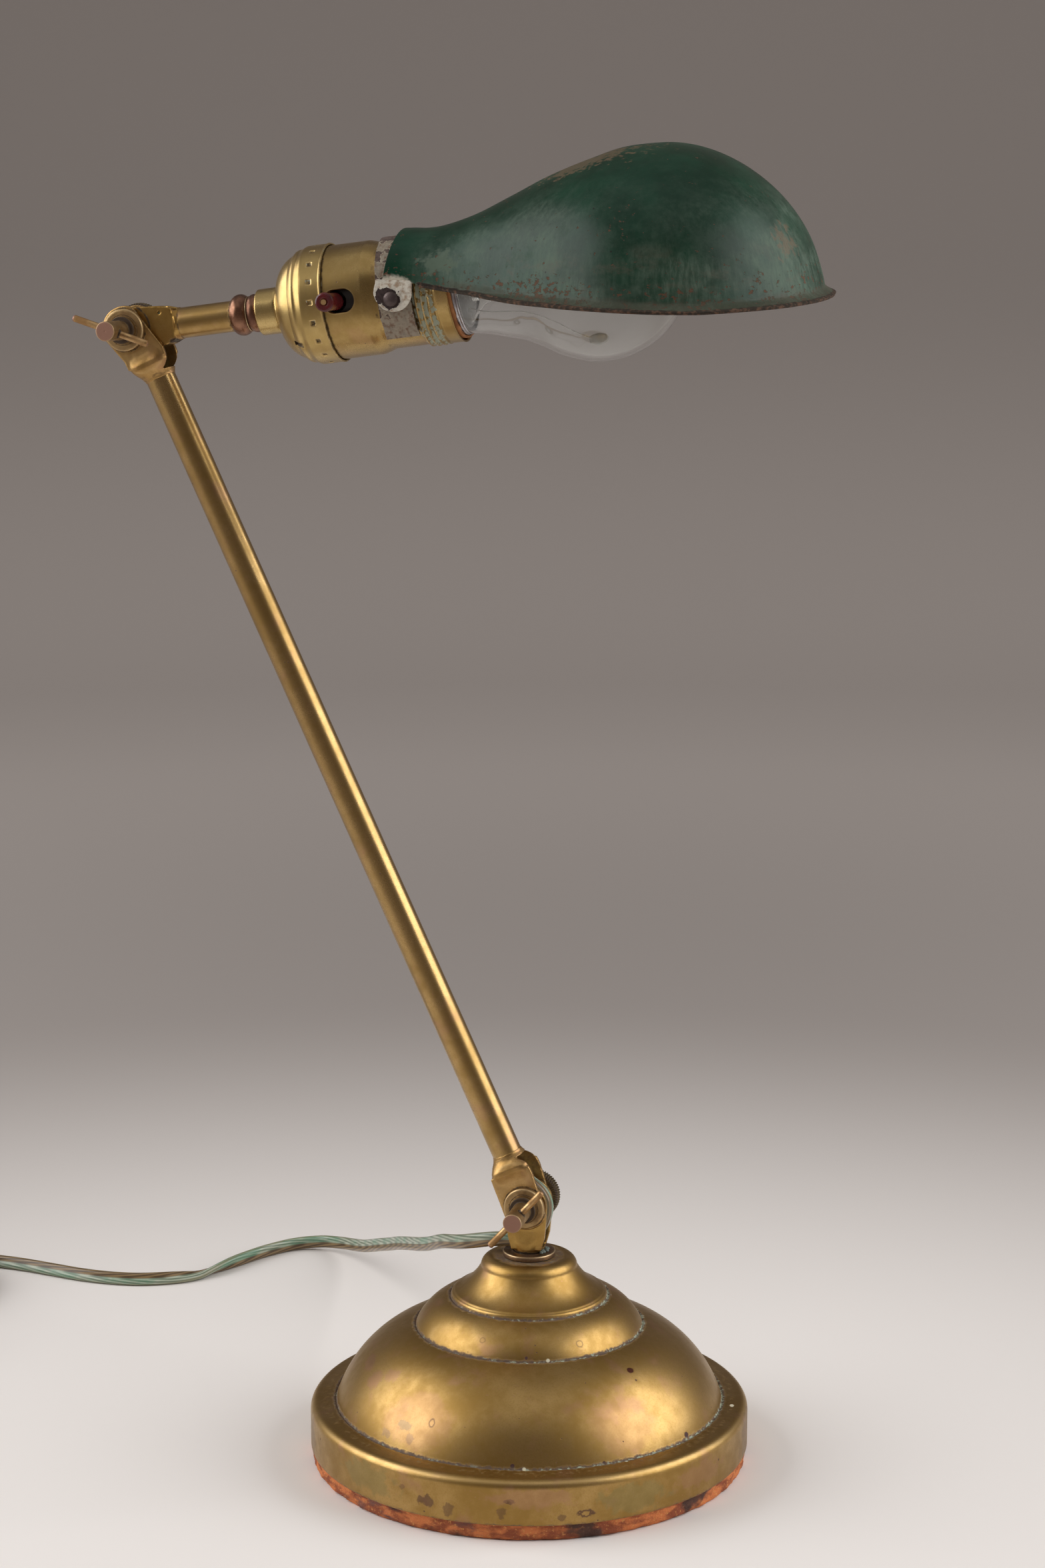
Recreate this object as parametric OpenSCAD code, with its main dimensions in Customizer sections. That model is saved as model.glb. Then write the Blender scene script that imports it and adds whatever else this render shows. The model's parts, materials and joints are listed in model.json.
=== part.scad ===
// Adjustable brass desk lamp: weighted round base, swivelling stem, tilting tube arm and
// tilting head with a push-through lamp socket and a clip-on half shade.
// Origin: centre of the base's underside. +Z up. The arm and head lie in the XZ plane,
// and the head points along +X.

/* [Base] */
// Radius of the brass drum
base_r = 76.2; // [74:0.1:78]
// Height of the iron band that shows below the drum
iron_lip_h = 5.6; // [4:0.1:7]
// Height of the drum's upper edge
drum_top_z = 20.9; // [20:0.1:22]
// Height of the shell's flat top
shell_top_z = 72; // [71.5:0.1:72.2]
// Thickness of the spun brass
shell_t = 0.9; // [0.6:0.1:1.1]
// Radius of the collar washer under the stem
collar_r = 9.1; // [8.5:0.1:10]
// Thickness of the collar washer
collar_t = 1.4; // [1.2:0.1:1.6]

/* [Stem and arm] */
// Height of the lower pivot
lower_pivot_z = 91; // [90:0.5:93]
// Backward lean of the arm tube from the vertical
arm_tilt = 24.56; // [20:0.01:30]
// Distance along the arm between the two pivots
arm_reach = 328; // [300:1:350]
// Sideways offset of the upper pivot from the tube's axis
arm_offset = 2.5; // [2:0.1:3]
// Outer radius of the arm and head tubes
tube_r = 5.15; // [5.1:0.05:5.2]
// Wall of the arm and head tubes
tube_t = 1; // [0.9:0.1:1.1]
// Distance from a pivot to the end of the arm tube
tube_gap = 17.5; // [17:0.5:19]

/* [Knuckles] */
// Rounded end radius of an outer fork
outer_fork_r = 8.1; // [7.9:0.1:8.3]
// Rounded end radius of an inner fork
inner_fork_r = 7.3; // [7:0.1:7.5]
// Thickness of every fork cheek
cheek_t = 1.6; // [1.4:0.1:1.6]
// Half of the gap between an inner fork's cheeks
inner_gap = 3.2; // [3.1:0.1:3.3]
// Width of the slot that lets the cord into the head
cord_slot = 5.8; // [5.6:0.1:6]
// Half of the gap between an outer fork's cheeks
outer_gap = 5; // [5:0.1:5.1]
// Radius of a clamp screw's threaded shaft
screw_r = 2.45; // [2.3:0.05:2.5]
// Radius of a clamp screw's thick post
post_r = 3.25; // [3:0.05:3.5]
// Distance of a post's end from the arm's plane
post_end = 25; // [24:0.5:27]
// Length of a cross rod
rod_len = 27.4; // [24:0.2:30]
// Radius of a cross rod
rod_r = 1.15; // [1:0.05:1.3]
// Turn of the lower cross rod from level
lower_rod_turn = 48; // [0:1:90]
// Turn of the upper cross rod from level
upper_rod_turn = -18; // [-90:1:0]
// Radius of a knurled nut
nut_r = 8.8; // [8.5:0.1:9]
// Number of ridges on a knurled nut
nut_ridges = 60; // [40:4:72]

/* [Head] */
// Upward tilt of the head's axis
head_tilt = 7.3; // [4:0.1:10]
// Turn of the shade clip about the head's axis
clip_turn = 4.4; // [0:0.1:6]
// Distance from the upper pivot to the socket cap's neck
cap_u = 46.5; // [46.5:0.5:47]
// Outer radius of the socket's wide shell
shell_r = 18.8; // [18.7:0.05:18.85]
// Outer radius of the socket shell's neck
neck_r = 17.5; // [17.4:0.1:17.5]
// Distance from the upper pivot to the socket's mouth
mouth_u = 116; // [116:0.5:116.5]
// Distance from the upper pivot to the switch rod
switch_u = 78; // [77.8:0.1:78.2]
// Distance of the switch knob's end from the head's plane, pulled out
knob_out = 30; // [29:0.5:31]
// Travel of the switch rod
switch_travel = 8; // [6:0.5:9]
// Distance from the upper pivot to the shade's rivets
rivet_u = 97.8; // [97.5:0.1:98]

/* [Shade] */
// Thickness of the shade's sheet
sheet_t = 0.9; // [0.7:0.1:0.9]
// Half width of the shade's dome
dome_w = 57; // [55:0.5:58]
// Height of the dome above the rivets
dome_h = 48.3; // [48:0.1:49]
// Distance of the dome's crown in front of the rivets
crown_x = 87; // [86:0.5:88]
// Length of the dome in front of its crown
nose_len = 50; // [49:0.5:51]
// Width of the outward rim
rim_w = 5; // [4:0.1:5]

/* [Bulb] */
// Radius of the glass globe
globe_r = 30.2; // [29.5:0.1:30.5]
// Distance from the upper pivot to the globe's centre
globe_u = 163; // [162:0.5:164]

/* [Cord] */
// Width of the flat twin cord
cord_w = 5.2; // [5:0.1:5.4]
// Thickness of the flat twin cord
cord_t = 2.7; // [2.5:0.1:2.8]
// Radius of the coil's outermost turn at its centre
coil_outer_r = 39.5; // [39:0.5:40]
// Radius of the coil's innermost turn at its centre
coil_inner_r = 20.5; // [20:0.5:21]

/* [Hidden] */
$fn = 64;
fine = 128;
arm_gap = tube_gap;
rod_y = post_end - 5.5;
cheek_out = outer_gap + cheek_t;
hole_r = screw_r + 0.15;
tube_in = tube_r - tube_t;
spigot_r = tube_in - 0.05;
spigot_in = spigot_r - 1;
upper_pivot = [-arm_offset * cos(arm_tilt) - arm_reach * sin(arm_tilt), 0,
    lower_pivot_z - arm_offset * sin(arm_tilt) + arm_reach * cos(arm_tilt)];
shell_wall = 0.45;
clip_in = neck_r + 0.8;
clip_out = clip_in + 0.9;
ear_in = clip_out + 0.4;
cord_r = cord_w / 2;
coil_centre = [-292, 98];
coil_low = 0.7;
// Free cord, from the stem's left side to where it joins the coil
route = [[-6, 0, 77], [-9, 0, 77], [-15, 1, 76], [-22, 5, 73.5], [-29, 13, 70], [-37, 24, 66], [-43, 35, 61.5],
    [-49, 47, 56.5], [-56, 60, 51.5], [-63, 74, 46.5], [-70, 88, 41.5], [-77, 103, 36], [-84, 117, 30.5],
    [-92, 131, 25], [-99, 145, 19.5], [-107, 159, 14], [-115, 172, 9.5], [-124, 183, 6], [-135, 189, 3.8],
    [-146, 186, 2.8], [-155, 175, 2.7], [-162, 162, 2.7], [-169, 149, 2.7], [-178, 138, 2.7],
    [-191, 131, 2.7], [-205, 129, 2.7], [-219, 130, 2.7], [-233, 133, 2.7], [-247, 136, 2.7],
    [-261, 137.5, 2.8], [-277, 137.5, 3.2], [-291, 137.5, 3.3]];
// Tail of the cord, from the coil to the plug
tail = [[-331.5, 99, 8.6], [-331.5, 86, 7], [-329.5, 73, 4.4], [-324, 60, 2.9], [-315, 49, 2.8],
    [-303, 43, 3.4], [-292, 42, 4.4]];
// Loop of captive cord at the lower knuckle, in the arm's plane
lower_loop = [[-10, 112.8], [-7, 106], [-1, 100], [4.6, 95.5], [6.9, 90.5], [6.2, 85], [3, 79.5], [-2, 77.1],
    [-5.7, 77]];
// Loop at the upper knuckle, across and along the arm from the upper pivot
upper_loop_arm = [[2.5, 24], [2.5, 18], [2.3, 13.5], [-0.5, 9], [-4.2, 4.5], [-5.4, 0]];
// The same loop, along and across the head from the upper pivot
upper_loop_head = [[-4.6, 3], [-1.5, 5.4], [2.5, 5.6], [7, 4.2], [11.5, 2.2], [15.5, 0.3], [17.5, 0], [19.8, 0]];

// ---- helpers ----

// Arc from a to b that bulges to the right of its direction by sag
function arc_pts(a, b, sag, n) =
    let (d = b - a, len = norm(d), along = d / len, out = [along.y, -along.x],
        r = (len * len / 4 + sag * sag) / (2 * sag), centre = (a + b) / 2 + out * (sag - r),
        half = asin(len / 2 / r))
    [for (i = [0:n]) let (t = half * (2 * i / n - 1)) centre + r * (cos(t) * out + sin(t) * along)];

// Points moved to the left of their direction by t
function inset(pts, t) =
    [for (i = [0:len(pts) - 1])
        let (d = pts[min(i + 1, len(pts) - 1)] - pts[max(i - 1, 0)], n = norm(d))
        pts[i] + t * [-d.y, d.x] / n];

function backwards(pts) = [for (i = [len(pts) - 1:-1:0]) pts[i]];
function band(pts, t) = concat(inset(pts, t / 2), backwards(inset(pts, -t / 2)));

// Smooth curve through points
function blend4(a, b, c, d, t) =
    0.5 * (2 * b + (c - a) * t + (2 * a - 5 * b + 4 * c - d) * t * t + (3 * b - a - 3 * c + d) * t * t * t);
function smooth(pts, n) =
    let (k = len(pts) - 1)
    concat([for (i = [0:k - 1], j = [0:n - 1])
        blend4(pts[max(i - 1, 0)], pts[i], pts[i + 1], pts[min(i + 2, k)], j / n)], [pts[k]]);
function ease(a, b, x) = let (t = min(1, max(0, (x - a) / (b - a)))) t * t * (3 - 2 * t);

module at_lower() translate([0, 0, lower_pivot_z]) rotate([0, -arm_tilt, 0]) children();
module at_upper() at_lower() translate([-arm_offset, 0, arm_reach]) mirror([0, 0, 1]) children();
module at_head() translate(upper_pivot) rotate([0, -head_tilt, 0]) children();
module at_clip() at_head() rotate([clip_turn, 0, 0]) children();
module at_shade() at_clip() translate([rivet_u, 0, 0]) rotate([0, head_tilt, 0]) children();
// Turns a revolved shape from Z to the head's axis
module along_head() rotate([0, 90, 0]) children();
// A disc or rod along Y between two stations, from back to front
module disc_y(r, y0, y1) translate([0, y1, 0]) rotate([90, 0, 0]) cylinder(r = r, h = y1 - y0);
// An outline in X and Z given a thickness between two stations of Y
module plate_y(y0, y1) translate([0, y1, 0]) rotate([90, 0, 0]) linear_extrude(height = y1 - y0) children();
module ring(r_out, r_in, h) difference() {
    cylinder(r = r_out, h = h);
    translate([0, 0, -1]) cylinder(r = r_in, h = h + 2);
}

// Tube along a route, closed at both ends
module sweep(pts, r, sides) {
    n = len(pts);
    rings = [for (i = [0:n - 1])
        let (d = pts[min(i + 1, n - 1)] - pts[max(i - 1, 0)], t = d / norm(d),
            s = cross(t, [0, 0, 1]), side = s / norm(s), up = cross(side, t))
        for (j = [0:sides - 1]) pts[i] + r * (cos(360 * j / sides) * side + sin(360 * j / sides) * up)];
    walls = [for (i = [0:n - 2], j = [0:sides - 1])
        [i * sides + j, (i + 1) * sides + j, (i + 1) * sides + (j + 1) % sides, i * sides + (j + 1) % sides]];
    ends = [[for (j = [0:sides - 1]) j], [for (j = [sides - 1:-1:0]) (n - 1) * sides + j]];
    polyhedron(points = rings, faces = concat(walls, ends), convexity = 6);
}

// ---- base ----

groove = 0.5;
shell_profile = concat(
    [[base_r, iron_lip_h], [base_r, drum_top_z - 3.2]],
    arc_pts([base_r, drum_top_z - 3], [base_r - 3, drum_top_z], 0.85, 6),
    [[68.2, 21.5], [67.4, 21.5 - groove]],
    arc_pts([66.9, 21.9], [40.1, 47.7], 4.4, 14),
    [[39.5, 47.8 - groove]],
    arc_pts([38.9, 48.6], [28, 57.9], 1.3, 8),
    [[27.4, 58 - groove]],
    arc_pts([27, 58.6], [24.6, 61.6], 0.35, 4),
    arc_pts([24.4, 61.9], [18.8, 68.4], -0.8, 6),
    arc_pts([18.6, 68.7], [14.4, shell_top_z], 0.9, 6),
    [[11, shell_top_z], [tube_r + 0.1, shell_top_z]]);

module base_weight() color([0.42, 0.24, 0.16]) rotate_extrude($fn = fine) polygon([
    [0, 0], [base_r - 1.4, 0], [base_r - 0.6, 0.8], [base_r - 0.6, iron_lip_h],
    [base_r - shell_t - 0.1, iron_lip_h], [base_r - shell_t - 0.1, 16.5], [70, 18.5], [44, 18.5], [40, 9], [0, 9]]);

module base_shell() color([0.62, 0.49, 0.24]) rotate_extrude($fn = fine)
    polygon(concat(shell_profile, backwards(inset(shell_profile, shell_t))));

module base_collar() color([0.5, 0.38, 0.22]) translate([0, 0, shell_top_z]) rotate_extrude() polygon([
    [tube_r + 0.1, 0], [collar_r, 0], [collar_r, collar_t - 0.5], [collar_r - 0.5, collar_t],
    [tube_r + 0.1, collar_t]]);

module stem_washer() color([0.6, 0.6, 0.58]) translate([0, 0, shell_top_z - shell_t - 1.2])
    ring(8.5, tube_r + 0.1, 1.1);

module stem_locknut() color([0.6, 0.5, 0.3]) translate([0, 0, shell_top_z - shell_t - 6.3]) difference() {
    cylinder(r = 9, h = 5, $fn = 6);
    translate([0, 0, -1]) cylinder(r = tube_r - 0.1, h = 7);
}

// ---- stem ----

module stem_fork() color([0.68, 0.52, 0.22]) difference() {
    union() {
        translate([0, 0, 60]) cylinder(r = tube_r - 0.15, h = 13.5);
        translate([0, 0, shell_top_z + collar_t + 0.1]) cylinder(r1 = 5.3, r2 = 6.2, h = 3.4);
        for (y = [-inner_gap - cheek_t, inner_gap]) plate_y(y, y + cheek_t) {
            translate([0, lower_pivot_z]) circle(r = inner_fork_r);
            polygon([[-5, 75], [5, 75], [6.8, 82], [inner_fork_r, lower_pivot_z],
                [-inner_fork_r, lower_pivot_z], [-6.8, 82]]);
        }
    }
    translate([-12, -inner_gap, 75.3]) cube([24, 2 * inner_gap, 40]);
    translate([0, 0, lower_pivot_z]) disc_y(hole_r, -8, 8);
}

// ---- outer forks of the arm; the pivot is the origin, the tube lies along +Z, offset by e ----

module outer_fork(e) color([0.66, 0.5, 0.25]) difference() {
    union() {
        for (y = [-cheek_out, outer_gap]) plate_y(y, y + cheek_t) {
            circle(r = outer_fork_r);
            polygon([[-outer_fork_r, 0], [5.6, -5.85], [e + 7.4, 11], [e + 7.2, 14], [e - 7.2, 14],
                [e - 7.5, 10]]);
        }
        hull() {
            translate([e - 7.2, -cheek_out, 11]) cube([14.4, 2 * cheek_out, 2.5]);
            translate([e, 0, arm_gap - 0.5]) cylinder(r = tube_r + 0.3, h = 0.5, $fn = 32);
        }
        translate([e, 0, arm_gap - 2]) cylinder(r = spigot_r, h = 9);
    }
    translate([e - 5.8, -outer_gap, -12]) cube([20, 2 * outer_gap, 25.2]);
    translate([e, -outer_gap, 0]) cube([20, 2 * outer_gap, arm_gap]);
    translate([e, 0, 0]) cylinder(r = spigot_in, h = 40);
    disc_y(hole_r, -9, 9);
}
module arm_lower_fork() at_lower() outer_fork(0);
module arm_upper_fork() at_upper() outer_fork(arm_offset);

module arm_tube() color([0.7, 0.55, 0.3]) at_lower() translate([0, 0, arm_gap])
    ring(tube_r, tube_in, arm_reach - 2 * arm_gap);

// Two round conductors side by side
module twin() {
    for (y = [-1, 1]) translate([0, y * (cord_w - cord_t) / 2]) circle(r = cord_t / 2, $fn = 24);
    square([cord_t * 0.7, cord_w - cord_t], center = true);
}
module arm_cord() color([0.75, 0.72, 0.6]) at_lower() translate([0, 0, 24])
    linear_extrude(height = arm_reach - 48) twin();

// ---- clamp screws, each on its own pivot ----

module screw_post() difference() {
    union() {
        disc_y(screw_r, -10, cheek_out + 5);
        disc_y(4.5, -10.6, -cheek_out - 2);
        disc_y(post_r, -post_end, -10);
    }
    translate([0, -rod_y, 0]) rotate([0, 90, 0]) cylinder(r = rod_r + 0.03, h = 20, center = true);
}
module cross_rod() translate([0, -rod_y, 0]) rotate([0, 90, 0]) {
    cylinder(r = rod_r, h = rod_len - 2 * rod_r, center = true, $fn = 32);
    for (s = [-1, 1]) translate([0, 0, s * (rod_len / 2 - rod_r)]) sphere(r = rod_r, $fn = 32);
}
module big_washer() difference() {
    disc_y(7.1, -cheek_out - 1.9, -cheek_out - 0.05);
    disc_y(screw_r + 0.05, -12, 0);
}
module knurled_nut() difference() {
    plate_y(cheek_out + 0.05, cheek_out + 4.5)
        polygon([for (i = [0:2 * nut_ridges - 1]) let (a = 180 * i / nut_ridges, r = nut_r - (i % 2) * 0.45)
            [r * cos(a), r * sin(a)]]);
    disc_y(screw_r + 0.04, 0, 20);
}
module lower_screw_post() color([0.6, 0.47, 0.25]) at_lower() rotate([0, arm_tilt - lower_rod_turn, 0]) screw_post();
module lower_cross_rod() color([0.66, 0.5, 0.28]) at_lower() rotate([0, arm_tilt - lower_rod_turn, 0]) cross_rod();
module lower_washer() color([0.55, 0.42, 0.22]) at_lower() big_washer();
module lower_knurled_nut() color([0.35, 0.3, 0.18]) at_lower() knurled_nut();
module upper_screw_post() color([0.62, 0.5, 0.3]) translate(upper_pivot) rotate([0, -upper_rod_turn, 0]) screw_post();
module upper_cross_rod() color([0.66, 0.5, 0.28]) translate(upper_pivot) rotate([0, -upper_rod_turn, 0]) cross_rod();
module upper_washer() color([0.68, 0.53, 0.33]) at_upper() big_washer();
module upper_knurled_nut() color([0.35, 0.3, 0.18]) at_upper() knurled_nut();

// ---- captive cord at the knuckles ----

function arm_point(p) = let (q = [-arm_offset + p.x, arm_reach - p.y])
    [q.x * cos(arm_tilt) - q.y * sin(arm_tilt), lower_pivot_z + q.x * sin(arm_tilt) + q.y * cos(arm_tilt)];
function head_point(p) = [upper_pivot.x + p.x * cos(head_tilt) - p.y * sin(head_tilt),
    upper_pivot.z + p.x * sin(head_tilt) + p.y * cos(head_tilt)];
upper_loop = concat([for (p = upper_loop_arm) arm_point(p)], [for (p = upper_loop_head) head_point(p)]);

module lower_cord_loop() color([0.6, 0.75, 0.62]) plate_y(-cord_w / 2, cord_w / 2)
    polygon(band(smooth(lower_loop, 4), cord_t));
module upper_cord_loop() color([0.6, 0.75, 0.62]) plate_y(-cord_w / 2, cord_w / 2)
    polygon(band(smooth(upper_loop, 3), cord_t));

// ---- head ----

module head_fork() color([0.66, 0.5, 0.24]) at_head() difference() {
    union() {
        for (y = [-inner_gap - cheek_t, inner_gap]) plate_y(y, y + cheek_t) {
            circle(r = inner_fork_r);
            polygon([[0, -inner_fork_r], [12, -7], [16, -5.4], [16, 5.4], [12, 6], [0, inner_fork_r]]);
        }
        translate([12, 0, 0]) along_head() intersection() {
            cylinder(r = tube_r + 0.45, h = 6);
            translate([-8, -inner_gap - cheek_t, 0]) cube([16, 2 * (inner_gap + cheek_t), 6]);
        }
        translate([17, 0, 0]) along_head() cylinder(r = spigot_r, h = 9);
    }
    translate([-10, -inner_gap, -10]) cube([22.5, 2 * inner_gap, 20]);
    translate([10, -cord_slot / 2, 0]) cube([8, cord_slot, 10]);
    translate([10, 0, 0]) along_head() cylinder(r = spigot_in, h = 30);
    disc_y(hole_r, -8, 8);
}
module head_tube() color([0.7, 0.55, 0.28]) at_head() translate([18, 0, 0]) along_head()
    ring(tube_r, tube_in, 38);
module head_cord() color([0.75, 0.72, 0.6]) at_head() translate([20, 0, 0]) along_head()
    linear_extrude(height = 36) twin();

module coupling_ring() color([0.45, 0.28, 0.2]) at_head() along_head() rotate_extrude() {
    polygon(concat([[tube_r + 0.05, 37.2]], arc_pts([5.9, 37.2], [5.9, 42.6], 0.9, 10), [[5.6, 42.8], [5.9, 43.1]],
        arc_pts([5.9, 43.2], [5.9, 46.4], 0.5, 8), [[tube_r + 0.05, 46.4]]));
}

// Socket cap: threaded neck, dome, ridge and the crimped band over the shell
module socket_cap() color([0.72, 0.6, 0.3]) at_head() along_head() rotate_extrude($fn = fine) polygon(concat(
    [[tube_r + 0.05, cap_u], [7.4, cap_u], [7.7, cap_u + 0.5], [7.7, 53.8], [8.3, 54.6]],
    arc_pts([9, 54.8], [17.4, 61.6], 1.4, 10), [[18.4, 63.4], [19, 64.4], [19.3, 66], [19.6, 66.4], [19.6, 73.6],
    [19.3, 74], [shell_r + 0.05, 74], [shell_r + 0.05, 66.8], [18.2, 64.6]],
    arc_pts([16.6, 62.2], [8.6, 55.7], -1.4, 10), [[6.9, 55.4], [tube_r + 0.05, 55.4]]));

// Openings for the switch knobs, on both sides
module switch_slot(half_h) for (s = [-1, 1]) translate([0, s * 18, 0]) plate_y(-6, 6) {
    for (u = [switch_u, 81]) translate([u, 0]) circle(r = half_h);
    translate([switch_u, -half_h]) square([81 - switch_u, 2 * half_h]);
}
thread_pitch = 2;
shell_line = concat([[shell_r, 67], [shell_r, 87.6], [shell_r - 0.3, 88.6], [neck_r + 0.2, 91.2],
    [neck_r, 92], [neck_r, 104.2]],
    [for (i = [0:2], p = [[17.75, 104.8], [18.5, 105.5], [18.5, 106.1], [17.75, 106.7]])
        [p.x, p.y + i * thread_pitch]],
    [[18.2, 111.4], [18.2, mouth_u - 0.4], [18.35, mouth_u]]);
module socket_shell() color([0.68, 0.56, 0.28]) at_head() difference() {
    along_head() rotate_extrude($fn = fine)
        polygon(concat(shell_line, [for (p = backwards(shell_line)) p - [shell_wall, 0]]));
    switch_slot(3.9);
}
liner_r = neck_r - shell_wall - 0.1;
module socket_liner() color([0.62, 0.36, 0.18]) at_head() difference() {
    translate([70, 0, 0]) along_head() ring(liner_r, liner_r - 0.65, 47.6);
    switch_slot(3.8);
}
module socket_body() color([0.15, 0.12, 0.1]) at_head() difference() {
    translate([70, 0, 0]) along_head() cylinder(r = liner_r - 0.8, h = 16);
    translate([switch_u, 0, 0]) disc_y(3.45, -20, 20);
    for (z = [-9, 9]) translate([69, 0, z]) along_head() cylinder(r = 1.55, h = 5);
    translate([84, 0, 0]) along_head() cylinder(r = 1.6, h = 3);
}
module lamp_screw_shell() color([0.75, 0.6, 0.35]) at_head() translate([86.1, 0, 0]) along_head() {
    translate([0, 0, 1]) ring(14.2, 13.6, 21);
    ring(14.2, 7, 1);
}
module centre_contact() color([0.75, 0.6, 0.35]) at_head() along_head() {
    translate([0, 0, 84.2]) cylinder(r = 1.5, h = 2.4);
    translate([0, 0, 86.3]) cylinder(r = 4.5, h = 0.5);
}
module terminal_screws() color([0.7, 0.58, 0.32]) at_head() for (z = [-9, 9])
    translate([0, 0, z]) along_head() {
        translate([0, 0, 67.6]) cylinder(r = 3.1, h = 2.3);
        translate([0, 0, 69.5]) cylinder(r = 1.5, h = 4);
    }

module switch_rod() color([0.7, 0.55, 0.3]) at_head() translate([switch_u, 0, 0]) {
    disc_y(1.5, -knob_out + 13.2, knob_out - 21.2);
    disc_y(0.9, -knob_out - 0.2, knob_out - 8);
}
module knob() difference() {
    union() {
        disc_y(3.15, -knob_out, -knob_out + 2.4);
        disc_y(2.85, -knob_out + 2, -knob_out + 13);
    }
    disc_y(0.93, -knob_out - 1, 0);
}
module near_knob() color([0.35, 0.06, 0.07]) at_head() translate([switch_u, 0, 0]) knob();
module far_knob() color([0.35, 0.06, 0.07]) at_head() translate([switch_u, -switch_travel, 0])
    mirror([0, 1, 0]) knob();

// ---- shade ----

clip_angle = 44;
module shade_clip() color([0.62, 0.6, 0.54]) at_clip() difference() {
    translate([92.6, 0, 0]) along_head() difference() {
        ring(clip_out, clip_in, 11.4, $fn = fine);
        translate([0, 0, -1]) linear_extrude(height = 14)
            polygon([[0, 0], [40, 40 / tan(clip_angle)], [40, -40 / tan(clip_angle)]]);
    }
    translate([rivet_u, 0, 0]) disc_y(1.55, -30, 30);
}
module shade_rivets() color([0.2, 0.16, 0.15]) at_clip() translate([rivet_u, 0, 0])
    for (m = [0, 1]) mirror([0, m, 0]) {
        disc_y(1.5, -ear_in - sheet_t - 0.5, -clip_in + 0.2);
        disc_y(2.3, -clip_in + 0.2, -clip_in + 0.62);
        translate([0, -ear_in - sheet_t - 0.1, 0]) rotate([90, 0, 0]) rotate_extrude()
            polygon(concat([[0, 0], [2.4, 0]], arc_pts([2.4, 0.2], [0.4, 1.3], 0.35, 6), [[0, 1.3]]));
    }

// Outlines of the shade: half width, crown height and lower edge along its length
rear_x = -3.8;
tip_x = crown_x + nose_len;
side_pts = [[-10, 20.5], [8, 20.5], [22, 24], [36, 31.5], [50, 41], [63, 49], [76, dome_w - 2],
    [crown_x + 4, dome_w], [crown_x + 18, dome_w]];
crown_pts = [[-10, 21.3], [0, 21.3], [11, 21.6], [24, 25.7], [37, 31.8], [50, 38.4], [63, 43.6],
    [74, 47.1], [crown_x, dome_h], [crown_x + 14, dome_h]];
edge_pts = [[-10, 6.2], [8, 5], [22, 3], [36, 1.9], [75, 0.5], [105, -0.4], [tip_x + 6, 0]];
side_line = smooth(side_pts, 6);
crown_line = smooth(crown_pts, 6);
function nose(x, start, len, p) = x <= start ? 1 : pow(max(0, 1 - pow((x - start) / len, p)), 1 / p);
function half_w(x) = x > crown_x + 4 ? dome_w * nose(x, crown_x + 4, nose_len - 4, 2) : lookup(x, side_line);
function rim_z(x) = lookup(x, edge_pts) + 2.8 * ease(14, 60, x);
function crown_z(x) = x > crown_x
    ? rim_z(x) + (dome_h - rim_z(x)) * nose(x, crown_x, nose_len, 1.8) : lookup(x, crown_line);
// Stations along the shade, closer together towards the tip
n_rear = 20;
n_nose = 12;
stations = concat([for (i = [0:n_rear - 1]) rear_x + (crown_x - rear_x) * i / n_rear],
    [for (i = [0:n_nose]) crown_x + nose_len * sin(82 * i / n_nose)]);
n_arch = 22;
// Cross-section at station x, drawn in by t, from the near rim over the crown to the far rim
function arch(x, t) =
    let (z0 = rim_z(x), full_w = half_w(x), full_h = crown_z(x) - z0,
        w = x > crown_x ? full_w * (1 - t / dome_w) : full_w - t,
        h = x > crown_x ? full_h * (1 - t / dome_h) : full_h - t,
        at_x = x > crown_x ? x - t * (x - crown_x) / nose_len : x,
        slant = 3.7 / 21.3 * max(0, (8 - x) / 11.8))
    [for (j = [0:n_arch])
        let (a = 180 * j / n_arch - 90, up = h * pow(max(cos(a), 0), 0.95))
        [at_x + slant * (z0 + up), w * sign(a) * pow(abs(sin(a)), 0.95), z0 + up]];
// The lower edge seen from above, round the dome from the near side to the far side
edge_line = concat([for (x = stations) [x, -half_w(x)]], [[tip_x, 0]],
    [for (i = [len(stations) - 1:-1:0]) [stations[i], half_w(stations[i])]]);
// Outer edge of the lip beside point k of the lower edge, at height dz
function lip(k, dz) =
    let (n = len(edge_line), d = edge_line[min(k + 1, n - 1)] - edge_line[max(k - 1, 0)],
        out = [d.y, -d.x] / norm(d), p = edge_line[k], g = ease(18, 55, p.x), q = p + out * (0.5 + (rim_w - 0.5) * g))
    [q.x, q.y, rim_z(p.x) - 2.8 * g + dz];
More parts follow.
